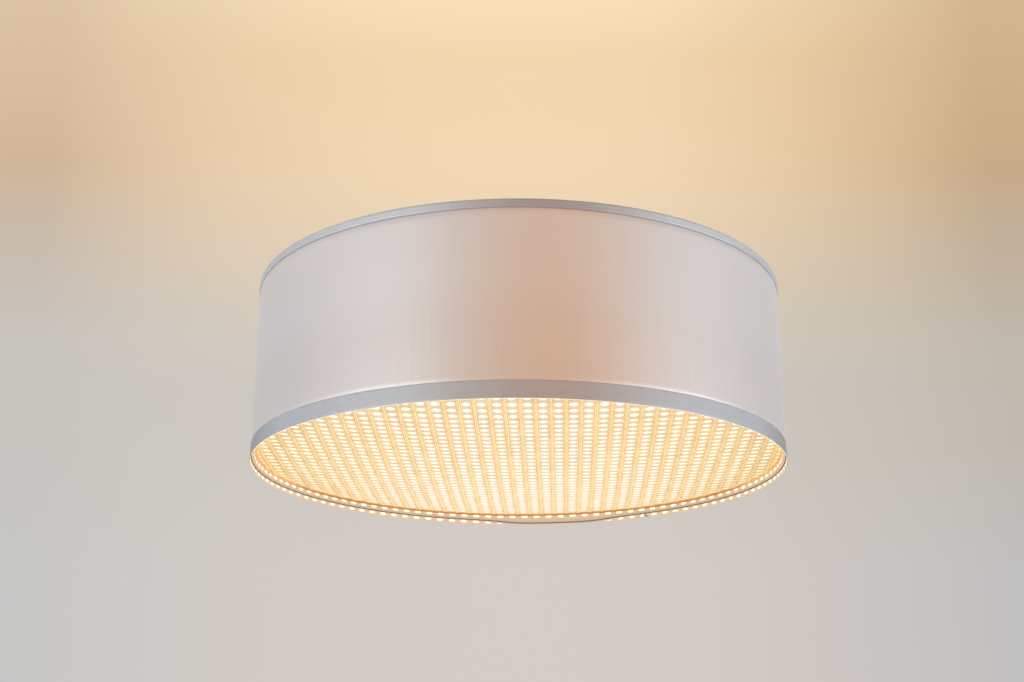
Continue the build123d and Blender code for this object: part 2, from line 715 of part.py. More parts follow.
def dome_layer(radius, offset, thickness):
    """Shallow dished layer, lowest in the middle."""
    low, high = offset, offset + thickness
    edges = [
        ThreePointArc(
            (0, dome_height(0, low)),
            (radius / 2, dome_height(radius / 2, low)),
            (radius, dome_height(radius, low)),
        ),
        Line((radius, dome_height(radius, low)), (radius, dome_height(radius, high))),
        ThreePointArc(
            (radius, dome_height(radius, high)),
            (radius / 2, dome_height(radius / 2, high)),
            (0, dome_height(0, high)),
        ),
        Line((0, dome_height(0, high)), (0, dome_height(0, low))),
    ]
    return turned_section(*edges)


def net_slots():
    """Openings of the net: upright columns of long gaps in level rows, clear of the border."""
    reach = disc_radius - NET_BORDER
    step = NET_HOLE_LENGTH + NET_BRIDGE
    columns = int(reach / NET_PITCH)
    rows = int(reach / step) + 1
    slots = []
    for column in range(-columns, columns + 1):
        x = column * NET_PITCH
        edge_x = abs(x) + NET_HOLE_WIDTH / 2
        if edge_x >= reach:
            continue
        half_length = sqrt(reach**2 - edge_x**2)
        for row in range(-rows, rows + 1):
            low = max(row * step - NET_HOLE_LENGTH / 2, -half_length)
            high = min(row * step + NET_HOLE_LENGTH / 2, half_length)
            if high - low > NET_HOLE_WIDTH:
                slots.append(Pos(x, (low + high) / 2) * Rectangle(NET_HOLE_WIDTH, high - low))
    return slots


def diffuser_net():
    slots = net_slots()
    print("net openings:", len(slots))
    layer = dome_layer(disc_radius, 0, NET_THICKNESS)
    cloth = Circle(disc_radius + CUT_MARGIN) - slots
    depth = DIFFUSER_SAG + NET_THICKNESS + 2 * CUT_MARGIN
    return layer & (Pos(0, 0, diffuser_low - CUT_MARGIN) * extrude(cloth, depth))


def diffuser_binding():
    low = dome_height(disc_radius, 0)
    high = dome_height(disc_radius, NET_THICKNESS + DISC_THICKNESS)
    return tube(diffuser_radius, disc_radius, low, high)


# ---------------------------------------------------------------- write the parts
os.makedirs("parts", exist_ok=True)

save("mounting_strap", mounting_strap())
save("pan_studs", *pan_studs())
save("cap_nuts", *cap_nuts())
save("base_pan", base_pan())
save("cable_grommet", cable_grommet())
save("terminal_block", terminal_block())
save("terminal_screws", *terminal_screws())
save("earth_screw", earth_screw())
save("earth_wire", earth_wire())
save("bracket_rivets", *bracket_rivets())
save("shade_studs", *shade_studs())
save("ring_nuts", *[at_angle(angle, ring_nut()) for angle in lamp_angles])

lead_poles = [pole_places()[1], pole_places()[2], pole_places()[0]]
for number, angle in enumerate(lamp_angles, start=1):
    save(f"holder_bracket_{number}", at_angle(angle, holder_bracket()))
    save(f"lampholder_{number}", at_angle(angle, lampholder()))
    save(f"screw_shell_{number}", at_angle(angle, screw_shell()))
    save(f"spring_contact_{number}", at_angle(angle, spring_contact()))
    save(f"lamp_lead_{number}", lamp_lead(angle, lead_poles[number - 1]))
    save(f"lamp_cap_{number}", at_angle(angle, lamp_cap()))
    save(f"lamp_contact_{number}", at_angle(angle, end_contact()))
    save(f"lamp_body_{number}", at_angle(angle, lamp_body()))
    save(f"lamp_globe_{number}", at_angle(angle, lamp_globe()))
    save(f"shade_arm_{number}", at_angle(angle, shade_arm()))

for number, angle in enumerate(stud_angles, start=1):
    save(f"thumb_nut_{number}", Pos(*on_circle(stud_circle, angle)) * thumb_nut())

save("carrier_ring", carrier_ring())
save("top_wire", wire_ring(top_wire_radius, TOP_WIRE_DIAMETER, top_wire_z))
save("bottom_wire", wire_ring(bottom_wire_radius, BOTTOM_WIRE_DIAMETER, bottom_wire_z))
save("shade_film", tube(film_radius, film_inner, wall_bottom, wall_top))
save("shade_fabric", tube(fabric_radius, film_radius, wall_bottom, wall_top))
save("top_tape", top_tape())
save("bottom_tape", bottom_tape())
save("back_seam", back_seam())
save("rim_lining", rim_lining())
save("rim_piping", rim_piping())
save("diffuser_ledge", wire_ring(ledge_radius, LEDGE_WIRE_DIAMETER, ledge_z))

save("diffuser_net", diffuser_net())
save("diffuser_disc", dome_layer(disc_radius, NET_THICKNESS, DISC_THICKNESS))
save("diffuser_binding", diffuser_binding())
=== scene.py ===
import math

import bpy
from mathutils import Matrix, Vector


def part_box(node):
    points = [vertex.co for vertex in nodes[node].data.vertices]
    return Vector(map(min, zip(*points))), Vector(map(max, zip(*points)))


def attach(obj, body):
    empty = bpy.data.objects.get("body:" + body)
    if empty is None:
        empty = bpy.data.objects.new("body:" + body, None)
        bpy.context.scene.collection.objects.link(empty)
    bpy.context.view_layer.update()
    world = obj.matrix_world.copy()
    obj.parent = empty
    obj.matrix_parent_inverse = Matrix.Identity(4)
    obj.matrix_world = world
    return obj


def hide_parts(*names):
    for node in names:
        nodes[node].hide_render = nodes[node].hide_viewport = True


# Drum ceiling light on a pale ceiling, seen from below. Metres; +Z is up.

MM = 0.001

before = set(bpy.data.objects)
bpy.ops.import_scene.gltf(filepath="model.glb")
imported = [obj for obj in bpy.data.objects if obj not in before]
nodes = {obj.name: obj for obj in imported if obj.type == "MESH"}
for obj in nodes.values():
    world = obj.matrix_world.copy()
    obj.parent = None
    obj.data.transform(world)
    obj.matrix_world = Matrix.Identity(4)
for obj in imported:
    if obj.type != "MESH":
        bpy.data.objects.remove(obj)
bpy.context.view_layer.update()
bpy.ops.object.select_all(action="DESELECT")
scene = bpy.context.scene
scene.view_settings.view_transform = "Standard"


# ---------------------------------------------------------------- camera
CAMERA_PLACE = Vector((0.0015, -1.0945, -0.4204))
CAMERA_PITCH = 0.32126
CAMERA_YAW = -0.00597
CAMERA_ROLL = 0.00277
CAMERA_LENS = 52.19
SENSOR_WIDTH = 36.0


def place_camera():
    bpy.ops.object.camera_add(location=CAMERA_PLACE)
    camera = bpy.context.object
    camera.name = "photo_camera"
    camera.data.lens = CAMERA_LENS
    camera.data.sensor_width = SENSOR_WIDTH
    ahead = Vector(
        (
            math.sin(CAMERA_YAW) * math.cos(CAMERA_PITCH),
            math.cos(CAMERA_YAW) * math.cos(CAMERA_PITCH),
            math.sin(CAMERA_PITCH),
        )
    )
    level = Vector((math.cos(CAMERA_YAW), -math.sin(CAMERA_YAW), 0))
    upright = level.cross(ahead)
    across = level * math.cos(CAMERA_ROLL) + upright * math.sin(CAMERA_ROLL)
    up = upright * math.cos(CAMERA_ROLL) - level * math.sin(CAMERA_ROLL)
    turned = Matrix((across, up, -ahead)).transposed().to_4x4()
    camera.matrix_world = Matrix.Translation(CAMERA_PLACE) @ turned
    scene.camera = camera


place_camera()


# ---------------------------------------------------------------- places on the lamp
shade_low, shade_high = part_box("shade_fabric")
tape_low, tape_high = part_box("top_tape")
disc_low, disc_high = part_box("diffuser_disc")
FABRIC_RADIUS = shade_high[0]
TOP_RIM = tape_high[2]
BOTTOM_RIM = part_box("rim_lining")[0][2]
TAPE_RADIUS = tape_high[0]
DISC_RADIUS = disc_high[0]
LAMP_ANGLES = [math.radians(-84 + 120 * lamp) for lamp in range(3)]
ROUND_STEPS = 360
CLOTH_THICKNESS = 0.35 * MM
FILM_THICKNESS = 0.5 * MM

# Opal sheet, and the net stretched under it.
SHEET_RADIUS = DISC_RADIUS + 3.9 * MM
SHEET_THICKNESS = 1.2 * MM
SAG = 8.0 * MM
NET_EDGE = SHEET_RADIUS - 0.5 * MM
NET_PITCH = 10.3 * MM
NET_ROW_PITCH = 10.5 * MM
HOLE_HALF_WIDTH = 3.25 * MM
HOLE_HALF_LENGTH = 3.35 * MM
BAR_HALF_WIDTH = 3.3 * MM
# How far the rows are moved towards the far side, as a share of their pitch.
ROW_SHIFT = 0.77
STITCHES_PER_HOLE = 5
CORD_SQUASH = 0.5
# The columns spread towards the far side by FAN per metre, and lean by TURN.
FAN = 0.028 / 0.2
TURN = 0.024
# Cords of one column in millimetres: place across, radius, depth under the sheet; and their sides.
CORDS = ((-3.75, 0.66, 0.36, 4), (3.75, 0.66, 0.36, 4), (5.15, 0.92, 0.42, 5))
# The rows' pull starts at this y of the lamp, which is this y of the flat net; then, from the
# near rim on, how far the rows are pulled apart and over what length.
PULL_START, PULL_START_FLAT = -192.0 * MM, -190.0 * MM
ROW_PULLS = ((1.2, 37.0 * MM), (1.08, 25.0 * MM), (0.9, 90.0 * MM), (1.0, 400.0 * MM))

# Lower rim: ledge under the sheet, rim wire, and the lining with its edging in the crease.
LEDGE_HEIGHT = 7.3 * MM
LEDGE_THICKNESS = 1.3 * MM
WIRE_PLACE = (198.0 * MM, BOTTOM_RIM + 4.8 * MM)
WIRE_THICKNESS = 1.0 * MM
LINING_RADIUS = 197.0 * MM
CREASE_PLACE = (199.3 * MM, BOTTOM_RIM + 3.35 * MM)
EDGING_RADIUS = 0.52 * MM
# The crease is this corner of the lining's section.
CREASE = 6
# The lining hangs lower round one angle of the far side: by how much, and where in degrees.
HANG, HANG_MIDDLE, HANG_HALF_WIDTH = 2.5 * MM, 80.6, 14
# Holes of the lining: half width as a share of the pitch, and height of the cell over the hole's.
RIM_HOLE_PITCH = 10.7 * MM
RIM_HOLE_SHARE = 0.27
RIM_CELL_MARGIN = 1.15
RIM_HOLE_CORNERS = 16
# Legs of the lining with holes: first and last corner, length before the leg, and the middle
# and half height of its holes.
RIM_LEGS = (
    (1, CREASE, 8.4 * MM, 1.7 * MM, 1.1 * MM),
    (CREASE, CREASE + 1, 14.0 * MM, 1.9 * MM, 1.05 * MM),
)


# ---------------------------------------------------------------- finishes
def srgb(red, green, blue):
    """Colour written as 0 to 255, as the shader wants it."""

    def straight(value):
        value /= 255
        return value / 12.92 if value <= 0.04045 else ((value + 0.055) / 1.055) ** 2.4

    return (straight(red), straight(green), straight(blue), 1.0)


class Finish:
    """A material under construction: a Principled shader and the nodes that feed it."""

    def __init__(self, name, colour, roughness=0.5, metallic=0.0):
        self.material = bpy.data.materials.new(name)
        self.material.use_nodes = True
        self.tree = self.material.node_tree
        self.shader = self.tree.nodes["Principled BSDF"]
        self.output = self.tree.nodes["Material Output"]
        self.shader.inputs["Base Color"].default_value = colour
        self.shader.inputs["Roughness"].default_value = roughness
        self.shader.inputs["Metallic"].default_value = metallic
        self.place = self.node("ShaderNodeTexCoord").outputs["Object"]

    def node(self, kind, values=(), **settings):
        made = self.tree.nodes.new(kind)
        for setting, value in settings.items():
            setattr(made, setting, value)
        for socket, value in dict(values).items():
            self.feed(made.inputs[socket], value)
        return made

    def feed(self, socket, value):
        if isinstance(value, bpy.types.NodeSocket):
            self.tree.links.new(value, socket)
        else:
            socket.default_value = value

    def set(self, socket, value):
        self.feed(self.shader.inputs[socket], value)

    def scaled(self, scale, source=None):
        """Coordinates stretched by a factor on each axis."""
        values = {"Vector": source or self.place, "Scale": scale}
        return self.node("ShaderNodeMapping", values).outputs[0]

    def math(self, operation, first, second=0.0, third=0.0):
        values = {0: first, 1: second, 2: third}
        return self.node("ShaderNodeMath", values, operation=operation).outputs[0]

    def noise(self, scale, detail=3.0, source=None, roughness=0.55):
        values = {"Scale": scale, "Detail": detail, "Roughness": roughness}
        values["Vector"] = source or self.place
        return self.node("ShaderNodeTexNoise", values).outputs[0]

    def ramp(self, factor, *stops):
        """Colour along a factor; each stop is a position and a colour."""
        made = self.node("ShaderNodeValToRGB", {0: factor})
        steps = made.color_ramp.elements
        while len(steps) < len(stops):
            steps.new(0.5)
        for step, (position, colour) in zip(steps, stops):
            step.position = position
            step.color = colour
        return made.outputs[0]

    def mix(self, factor, first, second, blend="MIX"):
        made = self.node("ShaderNodeMix", data_type="RGBA", blend_type=blend)
        self.feed(made.inputs[0], factor)
        self.feed(made.inputs[6], first)
        self.feed(made.inputs[7], second)
        return made.outputs[2]

    def span(self, value, low, high, to_low=0.0, to_high=1.0, shape="SMOOTHSTEP"):
        values = {0: value, 1: low, 2: high, 3: to_low, 4: to_high}
        return self.node("ShaderNodeMapRange", values, interpolation_type=shape).outputs[0]

    def relief(self, height, distance, strength=1.0):
        values = {"Height": height, "Distance": distance, "Strength": strength}
        self.set("Normal", self.node("ShaderNodeBump", values).outputs[0])

    def axes(self, source=None):
        return self.node("ShaderNodeSeparateXYZ", {0: source or self.place}).outputs

    def run(self):
        """Lengths along and across a cloth."""
        return self.node("ShaderNodeUVMap", uv_map="run").outputs[0]

    def sideways(self, radius, power):
        """0 over the drum's middle, rising to 1 at its left and right."""
        share = self.math("ABSOLUTE", self.math("DIVIDE", self.axes()[0], radius))
        return self.math("POWER", share, power)

    def glow(self, colour, strength=1.0):
        self.set("Emission Color", colour)
        self.set("Emission Strength", strength)


def darker(colour, share):
    return tuple(share * part for part in colour[:3]) + (1.0,)


def painted_steel(name, colour):
    """Powder coat with a slight orange peel and dust in the low spots."""
    coat = Finish(name, colour, roughness=0.42)
    peel = coat.noise(900.0, 2.0)
    cloud = coat.noise(35.0, 4.0)
    coat.set("Base Color", coat.mix(coat.span(cloud, 0.45, 0.75), colour, darker(colour, 0.86)))
    coat.set("Roughness", coat.span(cloud, 0.3, 0.7, 0.36, 0.52))
    coat.relief(peel, 0.12 * MM, 0.5)
    return coat.material


def bright_metal(name, colour, roughness, brushed=(1.0, 1.0, 1.0)):
    """Plated metal with a fine drawn grain and small stains."""
    plate = Finish(name, colour, roughness, 1.0)
    grain = plate.noise(1400.0, 3.0, plate.scaled(brushed))
    stain = plate.noise(60.0, 5.0)
    plate.set("Base Color", plate.mix(plate.span(stain, 0.5, 0.8), colour, darker(colour, 0.72)))
    plate.set("Roughness", plate.span(grain, 0.2, 0.8, roughness * 0.75, roughness * 1.35))
    plate.relief(grain, 0.05 * MM, 0.35)
    return plate.material


def moulded_plastic(name, colour, roughness=0.4, glow=None):
    """Moulded plastic with a fine matt texture."""
    plastic = Finish(name, colour, roughness)
    pores = plastic.noise(1600.0, 2.0)
    flow = plastic.noise(25.0, 3.0, plastic.scaled((1.0, 1.0, 0.4)))
    deeper = darker(colour, 0.9)
    plastic.set("Base Color", plastic.mix(plastic.span(flow, 0.35, 0.75), colour, deeper))
    plastic.set("Roughness", plastic.span(pores, 0.3, 0.7, roughness - 0.05, roughness + 0.1))
    plastic.relief(pores, 0.04 * MM, 0.4)
    if glow:
        plastic.glow(glow)
    return plastic.material


def painted_lamp_glow(cloth, spread):
    """Painted light of the lamps behind the cloth: 1 in front of a lamp, fading round the drum and
    a little towards the top.
    """
    x, y, z = cloth.axes()
    glow_share = None
    for angle in LAMP_ANGLES:
        along = cloth.math("MULTIPLY", x, math.cos(angle) / FABRIC_RADIUS)
        facing = cloth.math("MULTIPLY_ADD", y, math.sin(angle) / FABRIC_RADIUS, along)
        away = cloth.math("MULTIPLY", cloth.math("SUBTRACT", facing, 1.0), spread)
        near = cloth.math("EXPONENT", away)
        glow_share = near if glow_share is None else cloth.math("MAXIMUM", glow_share, near)
    height = cloth.span(z, BOTTOM_RIM, TOP_RIM, 1.0, 0.72, "LINEAR")
    return cloth.math("MULTIPLY", glow_share, height)


def satin():
    """Satin of the drum: fine upright threads and faint slubs. The lamps' light behind it is
    painted in, darker and browner with an orange glow in front of each lamp, and the upper part is
    painted lighter and bluer.
    """
    cloth = Finish("satin_cloth", srgb(211, 209, 210), roughness=0.45, metallic=0.3)
    run = cloth.run()
    threads = cloth.noise(1.0, 2.0, cloth.scaled((2600.0, 26.0, 1.0), run))
    slubs = cloth.noise(1.0, 3.0, cloth.scaled((300.0, 9.0, 1.0), run))
    clouds = cloth.noise(1.0, 2.0, cloth.scaled((9.0, 16.0, 1.0), run))
    tint = cloth.math("MULTIPLY_ADD", slubs, 0.5, cloth.math("MULTIPLY", clouds, 0.5))
    tint = cloth.span(tint, 0.34, 0.66)
    glow_share = painted_lamp_glow(cloth, 18.0)
    silver = cloth.mix(tint, srgb(212, 210, 213), srgb(216, 214, 217))
    # Painted light: the upper part of the drum is lighter and bluer.
    above = cloth.span(cloth.axes()[2], -0.12, -0.07)
    silver = cloth.mix(above, silver, srgb(218, 218, 223))
    # Painted lamp light: in front of each lamp the cloth is darker and browner, and it glows
    # orange.
    painted_glow_colour = cloth.mix(1.0, silver, (0.77, 0.74, 0.58, 1.0), "MULTIPLY")
    cloth.set("Base Color", cloth.mix(glow_share, silver, painted_glow_colour))
    cloth.set("Roughness", cloth.span(threads, 0.3, 0.7, 0.42, 0.48))
    cloth.relief(cloth.math("MULTIPLY_ADD", slubs, 0.3, threads), 0.015 * MM, 0.12)
    cloth.glow((1.0, 0.13, 0.0, 1.0), cloth.math("MULTIPLY", glow_share, 0.19))
    cloth.set("Sheen Weight", 0.08)
    cloth.set("Sheen Roughness", 0.4)
    return cloth.material


def hem_tape():
    """Bias tape of the rims: a fine twill, blue-grey. Light is painted in: the upper tape lighter,
    the lower rim greyer at its left and right, and the tape darker, browner and glowing orange in
    front of each lamp.
    """
    tape = Finish("hem_tape", srgb(184, 191, 200), roughness=0.48, metallic=0.3)
    run = tape.run()
    along, across, _ = tape.axes(run)
    first, second = tape.math("MULTIPLY", along, 5200.0), tape.math("MULTIPLY", across, 5200.0)
    twill = tape.math("SINE", tape.math("ADD", first, second))
    wear = tape.noise(1.0, 4.0, tape.scaled((120.0, 380.0, 1.0), run))
    worn = tape.span(wear, 0.3, 0.7)
    x, _, height = tape.axes()
    # Painted light: the upper tape is lighter than the lower one.
    lower = tape.mix(worn, srgb(183, 190, 200), srgb(189, 196, 206))
    upper = tape.mix(worn, srgb(192, 199, 208), srgb(198, 205, 214))
    # Painted shade: the lower tape is greyer at the drum's left and right.
    painted_side_shade = tape.span(tape.math("ABSOLUTE", x), 0.16, 0.2)
    lower = tape.mix(painted_side_shade, lower, srgb(150, 153, 158))
    is_upper = tape.span(height, -0.1, -0.05)
    plain = tape.mix(is_upper, lower, upper)
    # Painted lamp light: in front of each lamp the tape is darker and browner, and it glows orange.
    painted_glow_tint = tape.mix(is_upper, (0.75, 0.71, 0.62, 1.0), (0.47, 0.45, 0.40, 1.0))
    painted_glow_colour = tape.mix(1.0, plain, painted_glow_tint, "MULTIPLY")
    glow_share = painted_lamp_glow(tape, 19.0)
    tape.set("Base Color", tape.mix(glow_share, plain, painted_glow_colour))
    tape.set("Roughness", tape.span(wear, 0.3, 0.7, 0.44, 0.52))
    weave = tape.math("MULTIPLY_ADD", wear, 0.8, tape.math("MULTIPLY", twill, 0.3))
    tape.relief(weave, 0.06 * MM, 0.4)
    tape.glow((1.0, 0.10, 0.0, 1.0), tape.math("MULTIPLY", glow_share, 0.09))
    return tape.material


def net_thread(name, warm, light, glow, far_glow):
    """Cotton thread with the light from behind painted in as a glow: amber near the camera's side,
    paler over the far side and darker to the left and right.
    """
    thread = Finish(name, warm, roughness=0.8)
    run = thread.run()
    fibres = thread.noise(1.0, 3.0, thread.scaled((2400.0, 700.0, 1.0), run))
    lots = thread.noise(70.0, 3.0)
    shade = thread.math("MULTIPLY_ADD", fibres, 0.6, thread.math("MULTIPLY", lots, 0.4))
    shade = thread.span(shade, 0.35, 0.65)
    thread.set("Base Color", thread.mix(shade, warm, light))
    lit = thread.mix(thread.span(thread.axes()[1], -0.14, 0.13), glow, far_glow)
    lit = thread.mix(thread.sideways(DISC_RADIUS, 1.8), lit, (0.55, 0.38, 0.17, 1.0))
    dull = thread.mix(1.0, lit, (0.84, 0.80, 0.74, 1.0), "MULTIPLY")
    # Painted shade: the glow is dimmer in the grooves on either side of the middle cord between
    # columns.
    column = thread.math("FRACT", thread.math("DIVIDE", thread.axes(run)[0], NET_PITCH))
    aside = thread.math("ABSOLUTE", thread.math("SUBTRACT", column, 0.5))
    painted_groove_shade = thread.ramp(
        aside,
        (0.07, (1.0, 1.0, 1.0, 1.0)),
        (0.12, (0.68, 0.68, 0.68, 1.0)),
        (0.17, (0.76, 0.76, 0.76, 1.0)),
        (0.22, (0.93, 0.93, 0.93, 1.0)),
    )
    thread.glow(thread.mix(shade, dull, lit), painted_groove_shade)
    thread.relief(fibres, 0.1 * MM, 0.6)
    return thread.material


def opal_disc():
    """Opal sheet lit from above: near white over its middle, yellower to the sides."""
    opal = Finish("opal_disc", srgb(246, 242, 230), roughness=0.35)
    mottle = opal.noise(18.0, 3.0)
    away = opal.math("MULTIPLY_ADD", mottle, 0.10, opal.sideways(DISC_RADIUS, 2.0))
    near = opal.ramp(
        away,
        (0.00, (0.81, 0.75, 0.64, 1.0)),
        (0.45, (0.79, 0.70, 0.50, 1.0)),
        (1.00, (0.76, 0.58, 0.29, 1.0)),
    )
    far = opal.mix(opal.span(away, 0.0, 1.0), (0.81, 0.75, 0.66, 1.0), (0.76, 0.60, 0.32, 1.0))
    below = opal.mix(opal.span(opal.axes()[1], -0.12, 0.16), near, far)
    facing = opal.axes(opal.node("ShaderNodeNewGeometry").outputs["Normal"])[2]
    opal.glow(opal.mix(opal.span(facing, -0.1, 0.1), below, (0.42, 0.33, 0.20, 1.0)))
    return opal.material


def shade_film():
    """White film under the satin with a faint drawn grain; its glow, warm in front of each lamp, is
    painted lamp light.
    """
    film = Finish("shade_film", srgb(238, 232, 218), roughness=0.5)
    grain = film.noise(300.0, 3.0, film.scaled((1.0, 1.0, 0.15)))
    white = film.mix(film.span(grain, 0.3, 0.7), srgb(232, 225, 210), srgb(242, 237, 225))
    film.set("Base Color", white)
    film.relief(grain, 0.05 * MM, 0.3)
    film.glow(film.mix(painted_lamp_glow(film, 6.0), (0.20, 0.15, 0.08, 1.0), (0.60, 0.44, 0.22, 1.0)))
    return film.material


def rim_cloth():
    """Knitted lining of the lower rim; its light through from behind is painted in as a glow,
    darker near x = 0.
    """
    cloth = Finish("rim_cloth", srgb(206, 188, 166), roughness=0.85)
    knit = cloth.noise(1.0, 3.0, cloth.scaled((1500.0, 1500.0, 1.0), cloth.run()))
    side = cloth.sideways(FABRIC_RADIUS, 1.5)
    lit = cloth.mix(side, (0.25, 0.175, 0.125, 1.0), (0.36, 0.27, 0.19, 1.0))
    dull = cloth.mix(1.0, lit, (0.80, 0.77, 0.72, 1.0), "MULTIPLY")
    cloth.glow(cloth.mix(cloth.span(knit, 0.35, 0.65), dull, lit))
    cloth.relief(knit, 0.15 * MM, 0.6)
    return cloth.material


def ledge_wire():
    """Plastic-coated ledge wire, orange-brown, with the lamps' light past it painted in as an
    orange glow: brightest along its top, darkest across its middle, and paler at left and right.
    """
    wire = Finish("ledge_wire", srgb(178, 130, 66), roughness=0.5)
    grain = wire.noise(500.0, 3.0)
    x, _, z = wire.axes()
    edge = wire.math("MULTIPLY_ADD", grain, 0.15 * MM, z)
    top = BOTTOM_RIM + LEDGE_HEIGHT + LEDGE_THICKNESS / 2
    lit = wire.ramp(
        wire.span(edge, top - LEDGE_THICKNESS, top, shape="LINEAR"),
        (0.00, (0.28, 0.14, 0.04, 1.0)),
        (0.25, (0.22, 0.09, 0.005, 1.0)),
        (0.75, (0.22, 0.09, 0.005, 1.0)),
        (1.00, (0.44, 0.20, 0.03, 1.0)),
    )
    painted_end_light = wire.span(wire.math("ABSOLUTE", x), 0.165, 0.192)
    wire.glow(wire.mix(painted_end_light, lit, (0.56, 0.38, 0.20, 1.0)), 0.9)
    wire.relief(grain, 0.05 * MM, 0.4)
    return wire.material


def earth_insulation():
    """Green insulation with a yellow stripe wound along it."""
    green, yellow = srgb(44, 128, 62), srgb(226, 198, 40)
    wire = Finish("earth_insulation", green, roughness=0.4)
    x, y, z = wire.axes()
    slant = wire.math("ADD", wire.math("MULTIPLY", x, 900.0), wire.math("MULTIPLY", y, 1300.0))
    stripe = wire.math("SINE", wire.math("MULTIPLY_ADD", z, 1500.0, slant))
    wire.set("Base Color", wire.mix(wire.span(stripe, 0.1, 0.3), green, yellow))
    wire.relief(wire.noise(900.0, 2.0), 0.03 * MM, 0.3)
    return wire.material


def lead_sleeve():
    """Glass-fibre sleeve of the lamp leads: a fine diagonal braid."""
    sleeve = Finish("lead_sleeve", srgb(226, 219, 202), roughness=0.75)
    x, y, z = sleeve.axes()
    one = sleeve.math("SINE", sleeve.math("MULTIPLY", sleeve.math("ADD", x, z), 6000.0))
    two = sleeve.math("SINE", sleeve.math("MULTIPLY", sleeve.math("SUBTRACT", y, z), 6000.0))
    braid = sleeve.math("MAXIMUM", one, two)
    raised = sleeve.span(braid, -0.5, 0.9)
    # Painted shade: the braid's low parts are darker, as shade between its strands.
    sleeve.set("Base Color", sleeve.mix(raised, srgb(196, 187, 166), srgb(230, 224, 208)))
    sleeve.relief(braid, 0.1 * MM, 0.6)
    return sleeve.material


finishes = {
    "pan": painted_steel("pan_coat", srgb(226, 224, 218)),
    "bracket": painted_steel("bracket_coat", srgb(214, 212, 206)),
    "carrier": painted_steel("carrier_coat", srgb(232, 229, 222)),
    "strap": bright_metal("zinc_strap", srgb(176, 178, 180), 0.38, (1.0, 0.1, 1.0)),
    "fastener": bright_metal("zinc_screw", srgb(192, 193, 192), 0.3),
    "thumb_nut": bright_metal("nickel_nut", srgb(205, 198, 186), 0.26),
    "shell": bright_metal("nickel_shell", srgb(200, 196, 184), 0.3),
    "cap_metal": bright_metal("lamp_cap_metal", srgb(206, 200, 190), 0.28),
    "cap_contact": bright_metal("tin_contact", srgb(170, 170, 168), 0.4),
    "terminal_brass": bright_metal("terminal_brass", srgb(196, 160, 92), 0.34),
    "wire": bright_metal("plated_wire", srgb(188, 186, 182), 0.35),
    "grommet": moulded_plastic("grommet_rubber", srgb(66, 66, 68), 0.6),
    "terminal_plastic": moulded_plastic("terminal_nylon", srgb(228, 224, 210), 0.45),
    "holder_plastic": moulded_plastic("holder_plastic", srgb(226, 222, 210), 0.4),
    "lamp_plastic": moulded_plastic("lamp_collar", srgb(236, 234, 228), 0.35),
    "lead_sleeve": lead_sleeve(),
    "earth_insulation": earth_insulation(),
    "globe": moulded_plastic(
        "frosted_globe", srgb(252, 246, 232), 0.3, (1.0, 0.86, 0.62, 1.0)
    ),
    "film": shade_film(),
    "ledge": ledge_wire(),
    # The binding's orange glow is painted lamp light.
    "binding": moulded_plastic("binding", srgb(196, 150, 96), 0.7, (0.42, 0.16, 0.02, 1.0)),
    "satin": satin(),
    "tape": hem_tape(),
    "pillar": net_thread(
        "net_pillar",
        srgb(232, 205, 160),
        srgb(244, 224, 186),
        (0.60, 0.42, 0.22, 1.0),
        (0.66, 0.48, 0.26, 1.0),
    ),
    "rung": net_thread(
        "net_rung",
        srgb(234, 210, 172),
        srgb(246, 230, 200),
        (0.62, 0.43, 0.25, 1.0),
        (0.68, 0.54, 0.39, 1.0),
    ),
    "rim_cloth": rim_cloth(),
    "rim_glow": moulded_plastic(
        "rim_glow_film", srgb(250, 240, 220), 0.6, (0.76, 0.63, 0.46, 1.0)
    ),
    # The edging's dark colour is partly painted shade of the crease it lies in.
    "edging": moulded_plastic("rim_edging", srgb(120, 98, 80), 0.7, (0.05, 0.03, 0.02, 1.0)),
    "opal": opal_disc(),
}

# Nodes that keep their CAD shape, by finish; NUMBERED ones come three times, once for each lamp
# or arm.
CARRIED = {
    "strap": ["mounting_strap"],
    "pan": ["base_pan"],
    "fastener": [
        "pan_studs",
        "cap_nuts",
        "earth_screw",
        "bracket_rivets",
        "shade_studs",
        "ring_nuts",
    ],
    "grommet": ["cable_grommet"],
    "terminal_plastic": ["terminal_block"],
    "terminal_brass": ["terminal_screws"],
    "earth_insulation": ["earth_wire"],
    "carrier": ["carrier_ring"],
    "wire": ["top_wire"],
}
NUMBERED = {
    "lead_sleeve": "lamp_lead",
    "carrier": "shade_arm",
    "thumb_nut": "thumb_nut",
    "bracket": "holder_bracket",
    "holder_plastic": "lampholder",
    "shell": "screw_shell",
    "terminal_brass": "spring_contact",
    "cap_metal": "lamp_cap",
    "cap_contact": "lamp_contact",
    "lamp_plastic": "lamp_body",
    "globe": "lamp_globe",
}
for finish, stem in NUMBERED.items():
    CARRIED.setdefault(finish, []).extend(f"{stem}_{number}" for number in (1, 2, 3))

for finish, carried in CARRIED.items():
    for node in carried:
        for slot in nodes[node].material_slots:
            slot.material = finishes[finish]


# ---------------------------------------------------------------- cloth
def thicken(piece, thickness, offset=-1.0):
    """Give a surface its wall; the piece stays selected."""
    bpy.context.view_layer.objects.active = piece
    piece.select_set(True)
    wall = piece.modifiers.new("wall", "SOLIDIFY")
    wall.thickness = thickness
    wall.offset = offset
    bpy.ops.object.modifier_apply(modifier="wall")


